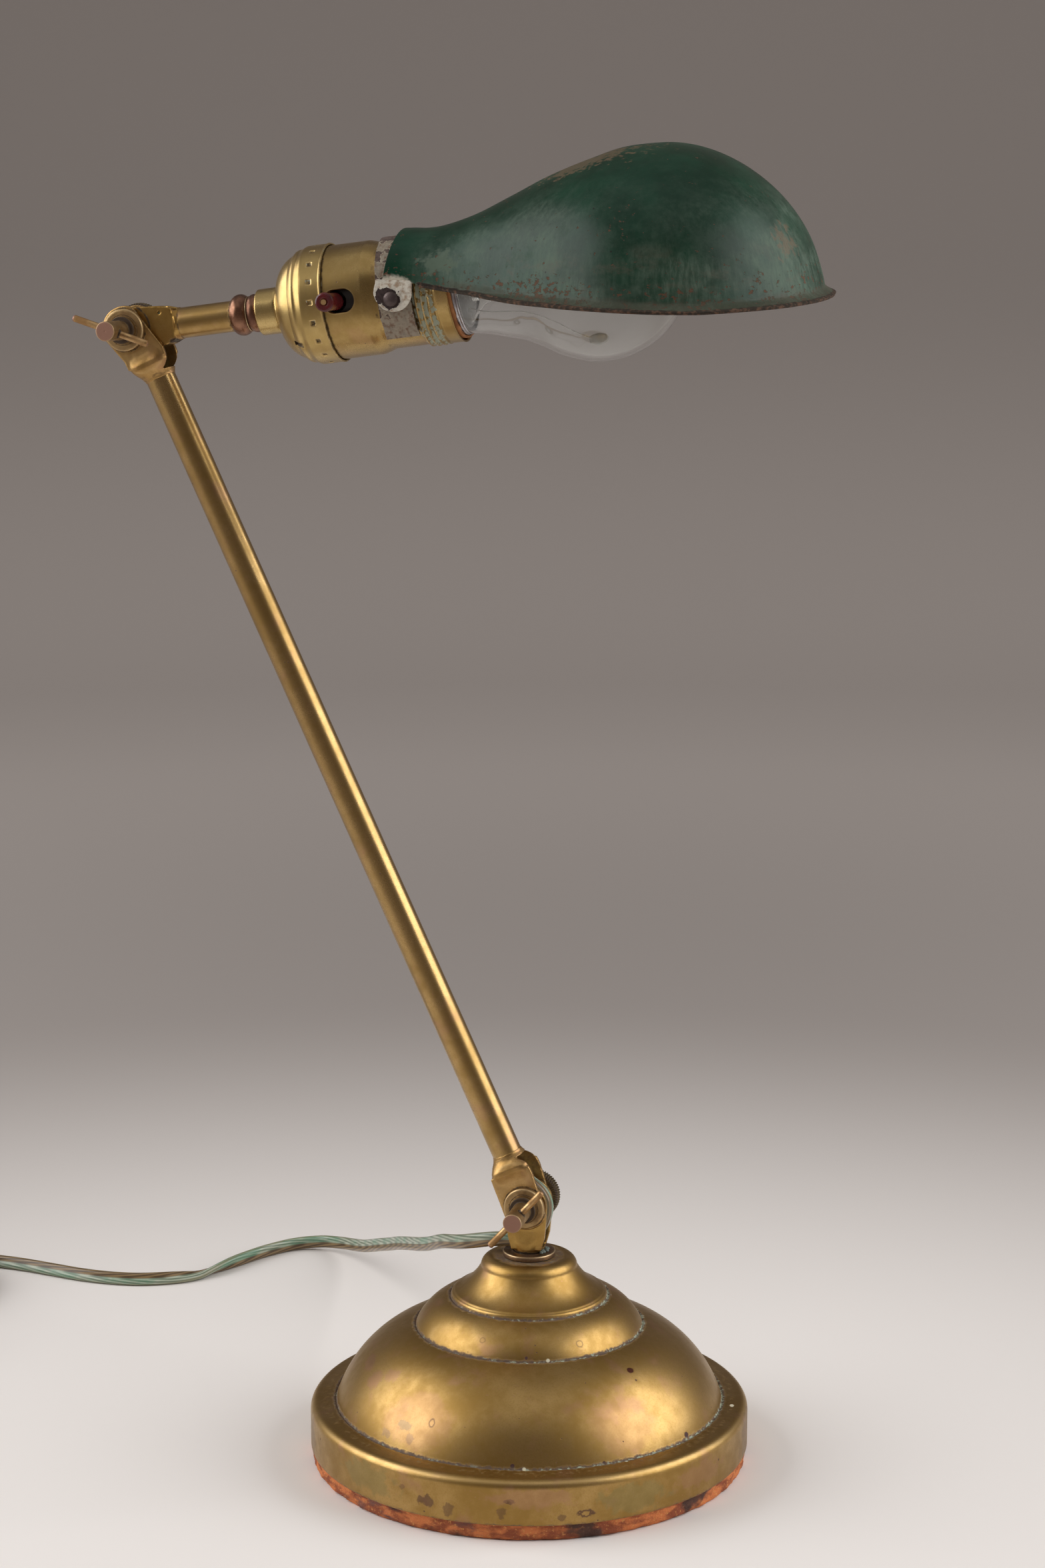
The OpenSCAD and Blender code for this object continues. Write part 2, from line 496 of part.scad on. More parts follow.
// One closed sheet: skin, lining, a sloping lip along the lower edge and the cut rear edge
module shade_sheet() {
    n = len(stations);
    m = n_arch + 1;
    k = n * m;
    skin = concat([for (x = stations) each arch(x, 0)], [[tip_x, 0, rim_z(tip_x)]]);
    lining = concat([for (x = stations) each arch(x, sheet_t)], [[tip_x - sheet_t, 0, rim_z(tip_x)]]);
    lip_n = len(edge_line);
    lip_top = [for (i = [0:lip_n - 1]) lip(i, 0.2)];
    lip_low = [for (i = [0:lip_n - 1]) lip(i, -0.6)];
    // Index of skin point beside lower-edge point i
    edge = concat([for (i = [0:n - 1]) i * m], [k], [for (i = [n - 1:-1:0]) i * m + m - 1]);
    li = k + 1;
    top = 2 * li;
    low = top + lip_n;
    quads = [for (i = [0:n - 2], j = [0:m - 2]) [i * m + j, (i + 1) * m + j, (i + 1) * m + j + 1, i * m + j + 1]];
    fans = [for (j = [0:m - 2]) [(n - 1) * m + j, k, (n - 1) * m + j + 1]];
    outside = concat(quads, fans);
    inside = [for (f = outside) [for (i = [len(f) - 1:-1:0]) f[i] + li]];
    rim = [for (i = [0:lip_n - 2]) each [
        [edge[i + 1], edge[i], top + i, top + i + 1],
        [top + i + 1, top + i, low + i, low + i + 1],
        [low + i + 1, low + i, li + edge[i], li + edge[i + 1]]]];
    rear = [for (j = [0:m - 2]) [j, j + 1, li + j + 1, li + j]];
    ends = [[0, li, low, top], [m - 1, top + lip_n - 1, low + lip_n - 1, li + m - 1]];
    polyhedron(points = concat(skin, lining, lip_top, lip_low),
        faces = concat(outside, inside, rim, rear, ends), convexity = 8);
}
module shade() color([0.06, 0.2, 0.13]) at_shade() shade_sheet();
// Ears of the same sheet, which hang over the clip and take the rivets
module shade_ears() color([0.7, 0.68, 0.62]) at_shade() for (m = [0, 1]) mirror([0, m, 0]) difference() {
    plate_y(-ear_in - sheet_t + 0.05, -ear_in - 0.05) {
        translate([0, 2]) circle(r = 6);
        translate([-4.4, 2]) square([10.4, 6]);
    }
    disc_y(1.6, -30, 0);
}

// ---- bulb ----

glass_t = 0.8;
bulb_line = concat(arc_pts([15.6, 118.6], [16.4, 121], 0.2, 3),
    [for (p = smooth([[16.9, 125], [18.3, 130], [20.2, 136.4], [23, 142], [26.4, 148], [28.8, 154]], 3)) p],
    [for (a = [-10:8:86]) [globe_r * cos(a), globe_u + globe_r * sin(a)]]);
module bulb_glass() color([0.9, 0.95, 0.95, 0.35]) at_head() along_head() rotate_extrude($fn = fine)
    polygon(concat(bulb_line, [[0, globe_u + globe_r], [0, globe_u + globe_r - glass_t]],
        [for (p = backwards(inset(bulb_line, glass_t))) p]));
module bulb_cap() color([0.7, 0.7, 0.72]) at_head() along_head() rotate_extrude() polygon([
    [13.3, 90.2], [13.3, 113.6], [15.6, 115.2], [16, 116], [16, 118.3], [15.3, 118.4], [15.3, 116.2],
    [12.7, 114], [12.7, 90.2]]);
module bulb_insulator() color([0.08, 0.08, 0.1]) at_head() along_head() rotate_extrude()
    polygon([[0, 88], [4.3, 88], [12.6, 90.3], [12.6, 91.5], [0, 91.5]]);
module bulb_contact() color([0.7, 0.7, 0.66]) at_head() translate([87, 0, 0]) along_head() cylinder(r = 4.1, h = 1);
module bulb_stem() color([0.9, 0.95, 0.95, 0.4]) at_head() along_head() rotate_extrude() polygon([
    [0, 118.9], [13.4, 118.9], [13.2, 120], [6, 127], [4, 134], [3.4, 146], [1.4, 149], [0, 149]]);
module bulb_filament() color([0.3, 0.28, 0.26]) at_head() {
    for (s = [-1, 1]) translate([149.1, s * 1, 0]) rotate([0, 90, s * 20]) cylinder(r = 0.35, h = 17);
    translate([165.8, 0, 0]) disc_y(0.7, -8, 8);
}

// ---- free cord, coil, tie and plug ----

module cord_run() color([0.75, 0.72, 0.6]) sweep(route, cord_r, 8);
module cord_tail() color([0.75, 0.72, 0.6]) sweep(tail, cord_r, 8);
module cord_coil() color([0.72, 0.7, 0.6]) translate([coil_centre.x, coil_centre.y, coil_low]) rotate_extrude()
    polygon([for (c = [[coil_inner_r, 2.7, 180], [coil_inner_r, 8.1, 90], [coil_outer_r, 8.1, 0],
        [coil_outer_r, 2.7, -90]], s = [0, -22.5, -45, -67.5, -90])
        [c.x + cord_r * cos(c.z + s), c.y + cord_r * sin(c.z + s)]]);
module cord_tie() color([0.1, 0.1, 0.1]) translate([coil_centre.x, coil_centre.y, 0]) rotate([0, 0, 330])
    translate([0, 2, 0]) rotate([90, 0, 0]) linear_extrude(height = 4) difference() {
        translate([17.1, 0.05]) square([25.8, 12.2]);
        translate([17.6, 0.5]) square([24.8, 11.2]);
    }
module plug_body() color([0.1, 0.09, 0.08]) translate([-293, 42, 0]) {
    difference() {
        translate([0, 0, 4.6]) rotate([0, 90, 0]) cylinder(r1 = 3.6, r2 = 4.4, h = 10, $fn = 24);
        translate([-1, 0, 4.4]) rotate([0, 90, 0]) cylinder(r = cord_r + 0.1, h = 2.2, $fn = 24);
    }
    translate([8, -8.5, 0.3]) cube([20, 17, 13.4]);
    translate([28, -10, 0]) cube([4, 20, 14]);
}
module plug_blades() color([0.75, 0.6, 0.35]) translate([-261, 42, 4])
    for (y = [-6.4, 6.4]) translate([0, y - 0.75, 0]) difference() {
        cube([16, 1.5, 6.4]);
        translate([12.5, -1, 3.2]) rotate([-90, 0, 0]) cylinder(r = 1.5, h = 4);
    }

base_weight();
base_shell();
base_collar();
stem_locknut();
stem_washer();
stem_fork();
arm_lower_fork();
arm_tube();
arm_upper_fork();
arm_cord();
lower_screw_post();
lower_cross_rod();
lower_washer();
lower_knurled_nut();
upper_screw_post();
upper_cross_rod();
upper_washer();
upper_knurled_nut();
lower_cord_loop();
upper_cord_loop();
head_fork();
head_tube();
head_cord();
coupling_ring();
socket_cap();
socket_shell();
socket_liner();
socket_body();
lamp_screw_shell();
centre_contact();
terminal_screws();
switch_rod();
near_knob();
far_knob();
shade_clip();
shade_rivets();
shade();
shade_ears();
bulb_glass();
bulb_cap();
bulb_insulator();
bulb_contact();
bulb_stem();
bulb_filament();
cord_run();
cord_coil();
cord_tail();
cord_tie();
plug_body();
plug_blades();
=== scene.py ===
"""Looks for an adjustable brass desk lamp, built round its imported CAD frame.

Every piece is made in millimetres in the local frame of what carries it (base, arm, head,
clip or shade), and is then placed in the row frame with that frame's matrix.
"""

import json
import math

import bmesh
import bpy
import numpy as np
from mathutils import Matrix, Vector, noise


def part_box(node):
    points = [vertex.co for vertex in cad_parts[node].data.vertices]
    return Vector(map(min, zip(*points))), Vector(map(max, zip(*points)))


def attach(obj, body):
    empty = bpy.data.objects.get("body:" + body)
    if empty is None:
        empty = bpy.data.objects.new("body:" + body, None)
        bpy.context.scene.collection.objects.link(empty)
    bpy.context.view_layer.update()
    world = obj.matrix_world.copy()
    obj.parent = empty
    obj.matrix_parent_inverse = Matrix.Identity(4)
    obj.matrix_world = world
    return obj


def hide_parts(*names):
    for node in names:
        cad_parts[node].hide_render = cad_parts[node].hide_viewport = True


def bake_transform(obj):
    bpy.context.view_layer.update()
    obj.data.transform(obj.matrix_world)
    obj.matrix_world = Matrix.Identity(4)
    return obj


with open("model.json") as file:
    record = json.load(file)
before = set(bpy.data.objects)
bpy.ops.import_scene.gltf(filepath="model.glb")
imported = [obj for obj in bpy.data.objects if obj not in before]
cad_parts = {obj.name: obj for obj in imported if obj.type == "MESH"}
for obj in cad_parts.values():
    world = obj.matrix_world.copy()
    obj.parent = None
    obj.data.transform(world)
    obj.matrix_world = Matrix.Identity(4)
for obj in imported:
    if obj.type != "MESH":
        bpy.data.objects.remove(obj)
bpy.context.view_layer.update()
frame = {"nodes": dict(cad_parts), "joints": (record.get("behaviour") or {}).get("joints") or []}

MM = 0.001
TAU = 2 * math.pi


# ---- places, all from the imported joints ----

joints = {j["name"]: j for j in frame["joints"]}
lower_pivot = Vector(joints["arm_lean"]["pos_m"])
upper_pivot = Vector(joints["head_tilt"]["pos_m"])
rivet = Vector(joints["clip_turn"]["pos_m"])
head_axis = Vector(joints["clip_turn"]["axis"]).normalized()
ear_axis = Vector(joints["shade_tilt"]["axis"]).normalized()
ARM_OFFSET = 2.5
arm_line = upper_pivot - lower_pivot
REACH = math.sqrt(arm_line.length_squared / MM**2 - ARM_OFFSET**2)
arm_lean = math.atan2(-arm_line.x, arm_line.z) - math.atan2(ARM_OFFSET, REACH)
head_rise = math.asin(head_axis.z)
RIVET_U = (rivet - upper_pivot).length / MM


def axes(origin, x, y):
    """The frame whose origin, x and y are given, as a matrix."""
    turn = Matrix((x, y, x.cross(y))).transposed().to_4x4()
    return Matrix.Translation(origin) @ turn


def turned(origin, angle):
    """The frame at a pivot, turned about Y by an angle in radians."""
    return Matrix.Translation(origin) @ Matrix.Rotation(angle, 4, "Y")


WORLD = Matrix.Identity(4)
ARM = turned(lower_pivot, -arm_lean)
# At the upper pivot, with Z pointing down the arm
UPPER_END = ARM @ Matrix.Translation((-ARM_OFFSET * MM, 0, REACH * MM)) @ Matrix.Diagonal((1, 1, -1, 1))
HEAD = axes(upper_pivot, head_axis, Vector((0, 1, 0)))
CLIP = axes(upper_pivot, head_axis, ear_axis)
shade_x = math.cos(head_rise) * head_axis - math.sin(head_rise) * head_axis.cross(ear_axis)
SHADE = axes(rivet, shade_x, ear_axis)
LOWER_SCREW = turned(lower_pivot, math.radians(-48))
UPPER_SCREW = turned(upper_pivot, math.radians(18))


# ---- small maths ----


def ease(a, b, x):
    t = np.clip((np.asarray(x, float) - a) / (b - a), 0, 1)
    return t * t * (3 - 2 * t)


def bell(x, centre, width):
    """1 at the centre, falling to nothing over a few widths."""
    return np.exp(-(((np.asarray(x, float) - centre) / width) ** 2))


def arc(a, b, sag, n=16):
    """Points from a to b along an arc that bulges to the right of its direction by sag."""
    a, b = np.array(a, float), np.array(b, float)
    d = b - a
    length = np.linalg.norm(d)
    along = d / length
    out = np.array([along[1], -along[0]])
    r = (length**2 / 4 + sag**2) / (2 * sag)
    centre = (a + b) / 2 + out * (sag - r)
    half = math.asin(length / 2 / r)
    t = half * (2 * np.arange(n + 1) / n - 1)
    return [tuple(centre + r * (math.cos(k) * out + math.sin(k) * along)) for k in t]


def spoke(radius, start, end, n, centre=(0, 0)):
    """Points on a circle from one angle to another, in degrees."""
    return [(centre[0] + radius * math.cos(t), centre[1] + radius * math.sin(t))
            for t in np.radians(np.linspace(start, end, n))]


def unit(vectors):
    """Each row at length 1."""
    return vectors / np.linalg.norm(vectors, axis=1)[:, None]


def smooth_path(points, step):
    """Points about step apart along a smooth curve through the given ones."""
    p = np.asarray(points, float)
    p = np.vstack([2 * p[0] - p[1], p, 2 * p[-1] - p[-2]])
    out = []
    for a, b, c, d in zip(p, p[1:], p[2:], p[3:]):
        n = max(2, int(np.linalg.norm(c - b) / step))
        t = (np.arange(n) / n)[:, None]
        square = (2 * a - 5 * b + 4 * c - d) * t**2
        out.append(0.5 * (2 * b + (c - a) * t + square + (3 * b - a - 3 * c + d) * t**3))
    return np.vstack([*out, p[-2:-1]])


def rounded(points, radius, closed=False, steps=5):
    """The outline with every corner rounded by radius, or by less where a side is short."""
    p = np.asarray(points, float)
    n = len(p)
    out = []
    for i in range(n):
        if not closed and i in (0, n - 1):
            out.append(p[i])
            continue
        a, b, c = p[i - 1], p[i], p[(i + 1) % n]
        u, v = a - b, c - b
        lu, lv = np.linalg.norm(u), np.linalg.norm(v)
        turn = math.acos(np.clip(u @ v / (lu * lv), -1, 1))
        if turn > math.radians(168):
            out.append(b)
            continue
        reach = min(radius / math.tan(turn / 2), 0.45 * lu, 0.45 * lv)
        start, end = b + u / lu * reach, b + v / lv * reach
        for k in np.linspace(0, 1, steps):
            out.append((1 - k) ** 2 * start + 2 * k * (1 - k) * b + k**2 * end)
    return np.array(out)


def resampled(points, step, closed=False):
    """The outline again, with points at most step apart, keeping its own."""
    p = [np.asarray(q, float) for q in points]
    ends = p[1:] + ([p[0]] if closed else [])
    out = []
    for a, b in zip(p, ends):
        n = max(1, math.ceil(np.linalg.norm(b - a) / step))
        out += [a + (b - a) * k / n for k in range(n)]
    return np.array(out if closed else [*out, p[-1]])


def rough(points, size, octaves=3, seed=0.0):
    """Smooth noise from about -1 to 1 at each point, with lumps of that size."""
    shift = Vector((seed * 17.3, seed * 9.1, seed * 5.7))
    return np.array([noise.fractal(Vector(p) / size + shift, 1.0, 2.0, octaves) for p in points])


# ---- mesh helpers ----


def build(name, verts, faces, place=WORLD, sharp=35):
    """A mesh object from points in millimetres and faces, in the frame place."""
    mesh = bpy.data.meshes.new(name)
    mesh.from_pydata((np.asarray(verts, float) * MM).tolist(), [], [[int(i) for i in f] for f in faces])
    bm = bmesh.new()
    bm.from_mesh(mesh)
    bmesh.ops.remove_doubles(bm, verts=bm.verts, dist=1e-7)
    bmesh.ops.recalc_face_normals(bm, faces=bm.faces)
    bm.to_mesh(mesh)
    bm.free()
    obj = bpy.data.objects.new(name, mesh)
    bpy.context.scene.collection.objects.link(obj)
    obj.matrix_world = place
    smooth_shading(obj, sharp)
    return obj


def smooth_shading(obj, sharp):
    """Shades smooth except where faces meet at more than sharp degrees."""
    obj.data.polygons.foreach_set("use_smooth", [True] * len(obj.data.polygons))
    obj.data.set_sharp_from_angle(angle=math.radians(sharp))


def points_of(obj):
    """The mesh's points in its own frame, in millimetres."""
    co = np.zeros(len(obj.data.vertices) * 3)
    obj.data.vertices.foreach_get("co", co)
    return co.reshape(-1, 3) / MM


def set_points(obj, points):
    obj.data.vertices.foreach_set("co", (points * MM).ravel())
    obj.data.update()


def normals_of(obj):
    n = np.zeros(len(obj.data.vertices) * 3)
    obj.data.vertices.foreach_get("normal", n)
    return n.reshape(-1, 3)


def dented(obj, depth, size, octaves=2, seed=0.0):
    """Moves the surface in and out by up to about depth, in lumps of that size."""
    p = points_of(obj)
    set_points(obj, p + normals_of(obj) * (depth * rough(p, size, octaves, seed))[:, None])
    return obj


def paint(obj, name, *values):
    """Stores one number a point on the mesh, the highest of the values, for its material to read."""
    highest = np.maximum.reduce(np.broadcast_arrays(*values))
    layer = obj.data.attributes.new(name, "FLOAT", "POINT")
    layer.data.foreach_set("value", np.asarray(highest, np.float32))
    return obj


def applied(obj, *modifiers):
    """Adds each (type, settings) modifier in turn and makes its result the mesh."""
    for kind, settings in modifiers:
        m = obj.modifiers.new(kind.lower(), kind)
        for key, value in settings.items():
            setattr(m, key, value)
        shown = obj.evaluated_get(bpy.context.evaluated_depsgraph_get())
        mesh = bpy.data.meshes.new_from_object(shown)
        obj.modifiers.clear()
        obj.data = mesh
    return obj


def combined(obj, others, operation):
    """obj with each other solid added or cut away; the others are used up."""
    for other in others:
        settings = {"operation": operation, "object": other, "solver": "MANIFOLD"}
        applied(obj, ("BOOLEAN", settings))
        bpy.data.objects.remove(other)
    return obj


def softened(obj, voxel, passes, sharp=50):
    """The solid as one worn skin with rounded edges."""
    applied(obj, ("REMESH", {"mode": "VOXEL", "voxel_size": voxel * MM, "adaptivity": 0}),
            ("SMOOTH", {"factor": 0.5, "iterations": passes}))
    smooth_shading(obj, sharp)
    return obj


def joined(name, objects):
    """One object from several that share a frame; each keeps its materials."""
    bm = bmesh.new()
    first = objects[0]
    slots = []
    for o in objects:
        start = len(bm.faces)
        bm.from_mesh(o.data)
        bm.faces.ensure_lookup_table()
        own = list(o.data.materials)
        for m in own:
            if m not in slots:
                slots.append(m)
        for f in bm.faces[start:]:
            f.material_index = slots.index(own[f.material_index]) if own else 0
    mesh = bpy.data.meshes.new(name)
    bm.to_mesh(mesh)
    bm.free()
    for m in slots:
        mesh.materials.append(m)
    obj = bpy.data.objects.new(name, mesh)
    bpy.context.scene.collection.objects.link(obj)
    obj.matrix_world = first.matrix_world
    for o in objects:
        bpy.data.objects.remove(o)
    return obj


def revolve(profile, sides=128, along="z", closed=False):
    """Points and faces of an outline of (radius, height) turned round an axis."""
    p = np.asarray(profile, float)
    t = np.arange(sides) * TAU / sides
    r, h = np.repeat(p[:, 0], sides), np.repeat(p[:, 1], sides)
    c, s = np.tile(np.cos(t), len(p)), np.tile(np.sin(t), len(p))
    order = {"z": (r * c, r * s, h), "x": (h, r * c, r * s), "y": (r * c, h, r * s)}
    n = len(p)
    rows = n if closed else n - 1
    faces = [(i * sides + j, i * sides + (j + 1) % sides, (i + 1) % n * sides + (j + 1) % sides,
              (i + 1) % n * sides + j) for i in range(rows) for j in range(sides)]
    return np.stack(order[along], 1), faces


def turned_piece(name, outline, place, along="z", sides=128, radius=0.25, step=0, sharp=35):
    """A solid turned from a closed outline of (radius, height), its corners rounded."""
    p = rounded(outline, radius, closed=True) if radius else np.asarray(outline, float)
    p[:, 0] = np.maximum(p[:, 0], 0)
    if step:
        p = resampled(p, step, closed=True)
    return build(name, *revolve(p, sides, along, closed=True), place, sharp)


def prism(name, outline, low, high, place, along="y"):
    """A solid block with an outline in the plane across an axis, between two stations of it."""
    p = np.asarray(outline, float)
    n = len(p)
    a, b = np.tile(p[:, 0], 2), np.tile(p[:, 1], 2)
    c = np.repeat([low, high], n)
    order = {"y": (a, c, b), "z": (a, b, c), "x": (c, a, b)}
    faces = [tuple(range(n)), tuple(range(2 * n - 1, n - 1, -1))]
    faces += [(i, (i + 1) % n, (i + 1) % n + n, i + n) for i in range(n)]
    return build(name, np.stack(order[along], 1), faces, place, 30)


def circle(radius, n=48, centre=(0, 0)):
    t = np.arange(n) * TAU / n
    return np.stack([centre[0] + radius * np.cos(t), centre[1] + radius * np.sin(t)], 1)


def rectangle(x0, x1, y0, y1):
    return [(x0, y0), (x1, y0), (x1, y1), (x0, y1)]


def grid_faces(rows, columns, wrap=False):
    """Quads of a grid of points stored row by row; wrap joins the last column to the first."""
    last = columns if wrap else columns - 1
    return [(i * columns + j, i * columns + (j + 1) % columns, (i + 1) * columns + (j + 1) % columns,
             (i + 1) * columns + j) for i in range(rows - 1) for j in range(last)]


def loft(name, sections, place, sharp=60):
    """A closed solid through sections of equally many points in three dimensions."""
    n = len(sections[0])
    faces = grid_faces(len(sections), n, wrap=True)
    faces += [tuple(range(n - 1, -1, -1)), tuple(range((len(sections) - 1) * n, len(sections) * n))]
    return build(name, np.vstack(sections), faces, place, sharp)


def finish_piece(obj, body, slot, material, *nodes):
    """Gives a piece its material and its body, and hides the CAD nodes that it stands for."""
    if material is not None:
        obj.data.materials.clear()
        obj.data.materials.append(material)
    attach(obj, body)
    if nodes:
        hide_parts(*nodes)
    return obj


# ---- materials ----


class Look:
    """A material's node graph. Distances are millimetres in the piece's own frame."""

    def __init__(self, name):
        self.material = bpy.data.materials.new(name)
        self.material.use_nodes = True
        self.tree = self.material.node_tree
        self.surface = self.tree.nodes["Principled BSDF"]
        where = self.add("ShaderNodeTexCoord").outputs["Object"]
        self.place = self.add("ShaderNodeVectorMath", {0: where, "Scale": 1 / MM}, operation="SCALE").outputs[0]
        self.bumped = None

    def add(self, kind, inputs=(), **settings):
        node = self.tree.nodes.new(kind)
        for key, value in settings.items():
            setattr(node, key, value)
        for key, value in dict(inputs).items():
            self.feed(node.inputs[key], value)
        return node

    def feed(self, socket, value):
        """Links another node's output to the socket, or sets its value."""
        if isinstance(value, bpy.types.NodeSocket):
            self.tree.links.new(value, socket)
        elif socket.type == "RGBA":
            socket.default_value = (*value, 1)
        else:
            socket.default_value = value

    def set(self, **values):
        """Sets the surface's inputs: base_color, roughness, metallic and so on."""
        for key, value in values.items():
            self.feed(self.surface.inputs[key.replace("_", " ").title().replace("Ior", "IOR")], value)
        return self

    def math(self, operation, a, b=0.0, clamp=False):
        return self.add("ShaderNodeMath", {0: a, 1: b}, operation=operation, use_clamp=clamp).outputs[0]

    def over(self, *masks):
        """The strongest of several masks."""
        out = masks[0]
        for m in masks[1:]:
            out = self.math("MAXIMUM", out, m)
        return out

    def times(self, a, b):
        return self.math("MULTIPLY", a, b)

    def mix(self, mask, a, b):
        """Colour a where the mask is 0 and b where it is 1."""
        node = self.add("ShaderNodeMix", {"Factor": mask}, data_type="RGBA")
        self.feed(node.inputs[6], a)
        self.feed(node.inputs[7], b)
        return node.outputs[2]

    def between(self, x, low, high):
        """0 below low, 1 above high and smooth in between; low may be the higher one."""
        flip = low > high
        a, b = (high, low) if flip else (low, high)
        inputs = {"Value": x, "From Min": a, "From Max": b, "To Min": float(flip), "To Max": float(not flip)}
        return self.add("ShaderNodeMapRange", inputs, interpolation_type="SMOOTHSTEP").outputs["Result"]

    def spread(self, x, low, high):
        """x from 0 to 1 stretched over low to high."""
        return self.math("ADD", self.times(x, high - low), low)

    def moved(self, stretch, shift):
        inputs = {"Vector": self.place, "Location": (shift * 13.7, shift * 7.1, shift * 3.3),
                  "Scale": tuple(1 / s for s in stretch)}
        return self.add("ShaderNodeMapping", inputs).outputs[0]

    def noise(self, size, detail=3.0, stretch=(1, 1, 1), shift=0.0, roughness=0.55):
        inputs = {"Vector": self.moved(stretch, shift), "Scale": 1 / size, "Detail": detail,
                  "Roughness": roughness}
        return self.add("ShaderNodeTexNoise", inputs).outputs["Fac"]

    def patchy(self, colour, other, low, high, *noise, share=1, **more):
        """The colour with another laid over it where a noise goes from low to high."""
        mask = self.between(self.noise(*noise, **more), low, high)
        return self.mix(mask if share == 1 else self.times(mask, share), colour, other)

    def ragged(self, name, amount, low, high, *noise, **more):
        """Where the mesh's value goes from low to high, its border broken up by a noise."""
        border = self.spread(self.noise(*noise, **more), -amount, amount)
        return self.between(self.math("ADD", self.paint(name), border), low, high)

    def dots(self, pitch, radius, share, stretch=(1, 1, 1), shift=0.0):
        """Round specks: a share of the cells of a pitch hold one of about that radius."""
        inputs = {"Vector": self.moved(stretch, shift), "Scale": 1 / pitch}
        cells = self.add("ShaderNodeTexVoronoi", inputs, feature="F1")
        pick = self.add("ShaderNodeSeparateColor", {"Color": cells.outputs["Color"]}).outputs[0]
        near = self.between(cells.outputs["Distance"], radius / pitch, radius / pitch * 0.55)
        return self.times(near, self.math("LESS_THAN", pick, share))

    def mark(self, centre, size, ragged=0.35, hollow=0.0, grain=1.5):
        """A blot of that half size on each axis about a centre; hollow leaves a ring of it."""
        near = self.add("ShaderNodeVectorMath", {0: self.place, 1: tuple(centre)}, operation="SUBTRACT").outputs[0]
        scaled = self.add("ShaderNodeVectorMath", {0: near, 1: tuple(size)}, operation="DIVIDE").outputs[0]
        far = self.add("ShaderNodeVectorMath", {0: scaled}, operation="LENGTH").outputs["Value"]
        far = self.math("ADD", far, self.spread(self.noise(grain, 3), -ragged, ragged))
        blot = self.between(far, 1.15, 0.75)
        return self.times(blot, self.between(far, hollow - 0.2, hollow)) if hollow else blot

    def paint(self, name):
        """The value that the mesh stores for each point under that name, or 0."""
        return self.add("ShaderNodeAttribute", attribute_name=name, attribute_type="GEOMETRY").outputs["Fac"]

    def relief(self, height, depth):
        """Raises the surface by depth where height is 1, on top of what is there."""
        inputs = {"Height": height, "Distance": depth * MM, "Strength": 1.0}
        if self.bumped:
            inputs["Normal"] = self.bumped
        self.bumped = self.add("ShaderNodeBump", inputs).outputs["Normal"]
        self.set(normal=self.bumped)
        return self


# The dark brown laid on both for dirt and for painted shade in gaps, joins and hollows
DIRT_AND_SHADE_BROWN = (0.055, 0.032, 0.016)
VERDIGRIS = (0.40, 0.43, 0.33)
PINK_OXIDE = (0.40, 0.215, 0.125)
PURPLE_OXIDE = (0.085, 0.042, 0.040)


def brass(name, light=(0.46, 0.295, 0.105), deep=(0.31, 0.185, 0.048), gloss=0.25, pink=0.4, specks=0.35,
          green=0.5, haze=0.12, dirt=DIRT_AND_SHADE_BROWN, stains=(), pits=(), bright=()):
    """Old brass: cloudy tone, pink oxide, dark specks, and a dark brown for dirt and painted shade with verdigris,
    where the mesh's value for them says so.
    """
    look = Look(name)
    cloud = look.noise(26, 4, shift=1)
    mottle = look.noise(4.2, 5, shift=2)
    grain = look.noise(0.55, 3, shift=3)
    tone = look.between(look.math("ADD", cloud, look.times(mottle, 0.5)), 0.55, 0.98)
    colour = look.mix(tone, light, deep)
    colour = look.mix(look.times(look.between(grain, 0.45, 0.72), 0.45), colour, deep)
    colour = look.patchy(colour, PINK_OXIDE, 0.62, 0.74, 1.1, 4, shift=13, share=pink)
    blush = look.times(look.between(look.noise(11, 5, shift=4), 0.55, 0.72), pink)
    colour = look.mix(blush, colour, PINK_OXIDE)
    for tint, strength, mask in stains:
        colour = look.mix(look.times(mask(look), strength), colour, tint)
    dark = look.over(look.dots(4.6, 0.34, specks, shift=5), look.dots(9.0, 0.55, specks / 2, shift=6))
    dark = look.times(dark, 0.8)
    for mask in pits:
        dark = look.over(dark, mask(look))
    colour = look.mix(dark, colour, PURPLE_OXIDE)
    # Where the mesh says so: dirt in some places, painted shade in others, with a ragged border
    broken = look.ragged("grime_and_shade", 0.45, 0.3, 0.75, 1.6, 4, shift=8)
    colour = look.mix(broken, colour, dirt)
    crust = look.between(look.noise(1.9, 5, shift=9), 0.56, 0.66)
    crust = look.times(look.times(crust, look.between(look.paint("grime_and_shade"), 0.35, 0.8)), green)
    flaky = look.ragged("crust", 1.4, 0.45, 0.65, 1.5, 5, (1.5, 1, 1), 14)
    flaky = look.times(flaky, look.between(look.paint("crust"), 0.02, 0.15))
    crust = look.over(crust, flaky)
    colour = look.mix(crust, colour, VERDIGRIS)
    colour = look.mix(look.times(look.paint("wear"), 0.7), colour, (0.70, 0.50, 0.24))
    pale = look.dots(13, 0.42, 0.05, shift=11)
    for mask in bright:
        pale = look.over(pale, mask(look))
    colour = look.mix(pale, colour, (0.72, 0.68, 0.52))
    matt = look.over(look.times(broken, 0.85), crust, pale, look.times(dark, 0.6))
    rough_part = look.math("ADD", look.spread(look.over(blush, look.times(tone, 0.6)), gloss, gloss + 0.16),
                           look.spread(grain, -0.03, 0.05))
    rough_part = look.math("ADD", rough_part, look.times(matt, 0.42), clamp=True)
    look.set(base_color=colour, metallic=look.spread(matt, 1.0, 0.1), roughness=rough_part)
    look.set(coat_weight=haze, coat_roughness=0.42, specular_ior_level=0.35)
    look.relief(look.noise(0.8, 4, shift=12), 0.012)
    look.relief(look.over(broken, crust), 0.05)
    look.relief(dark, -0.04)
    return look.material


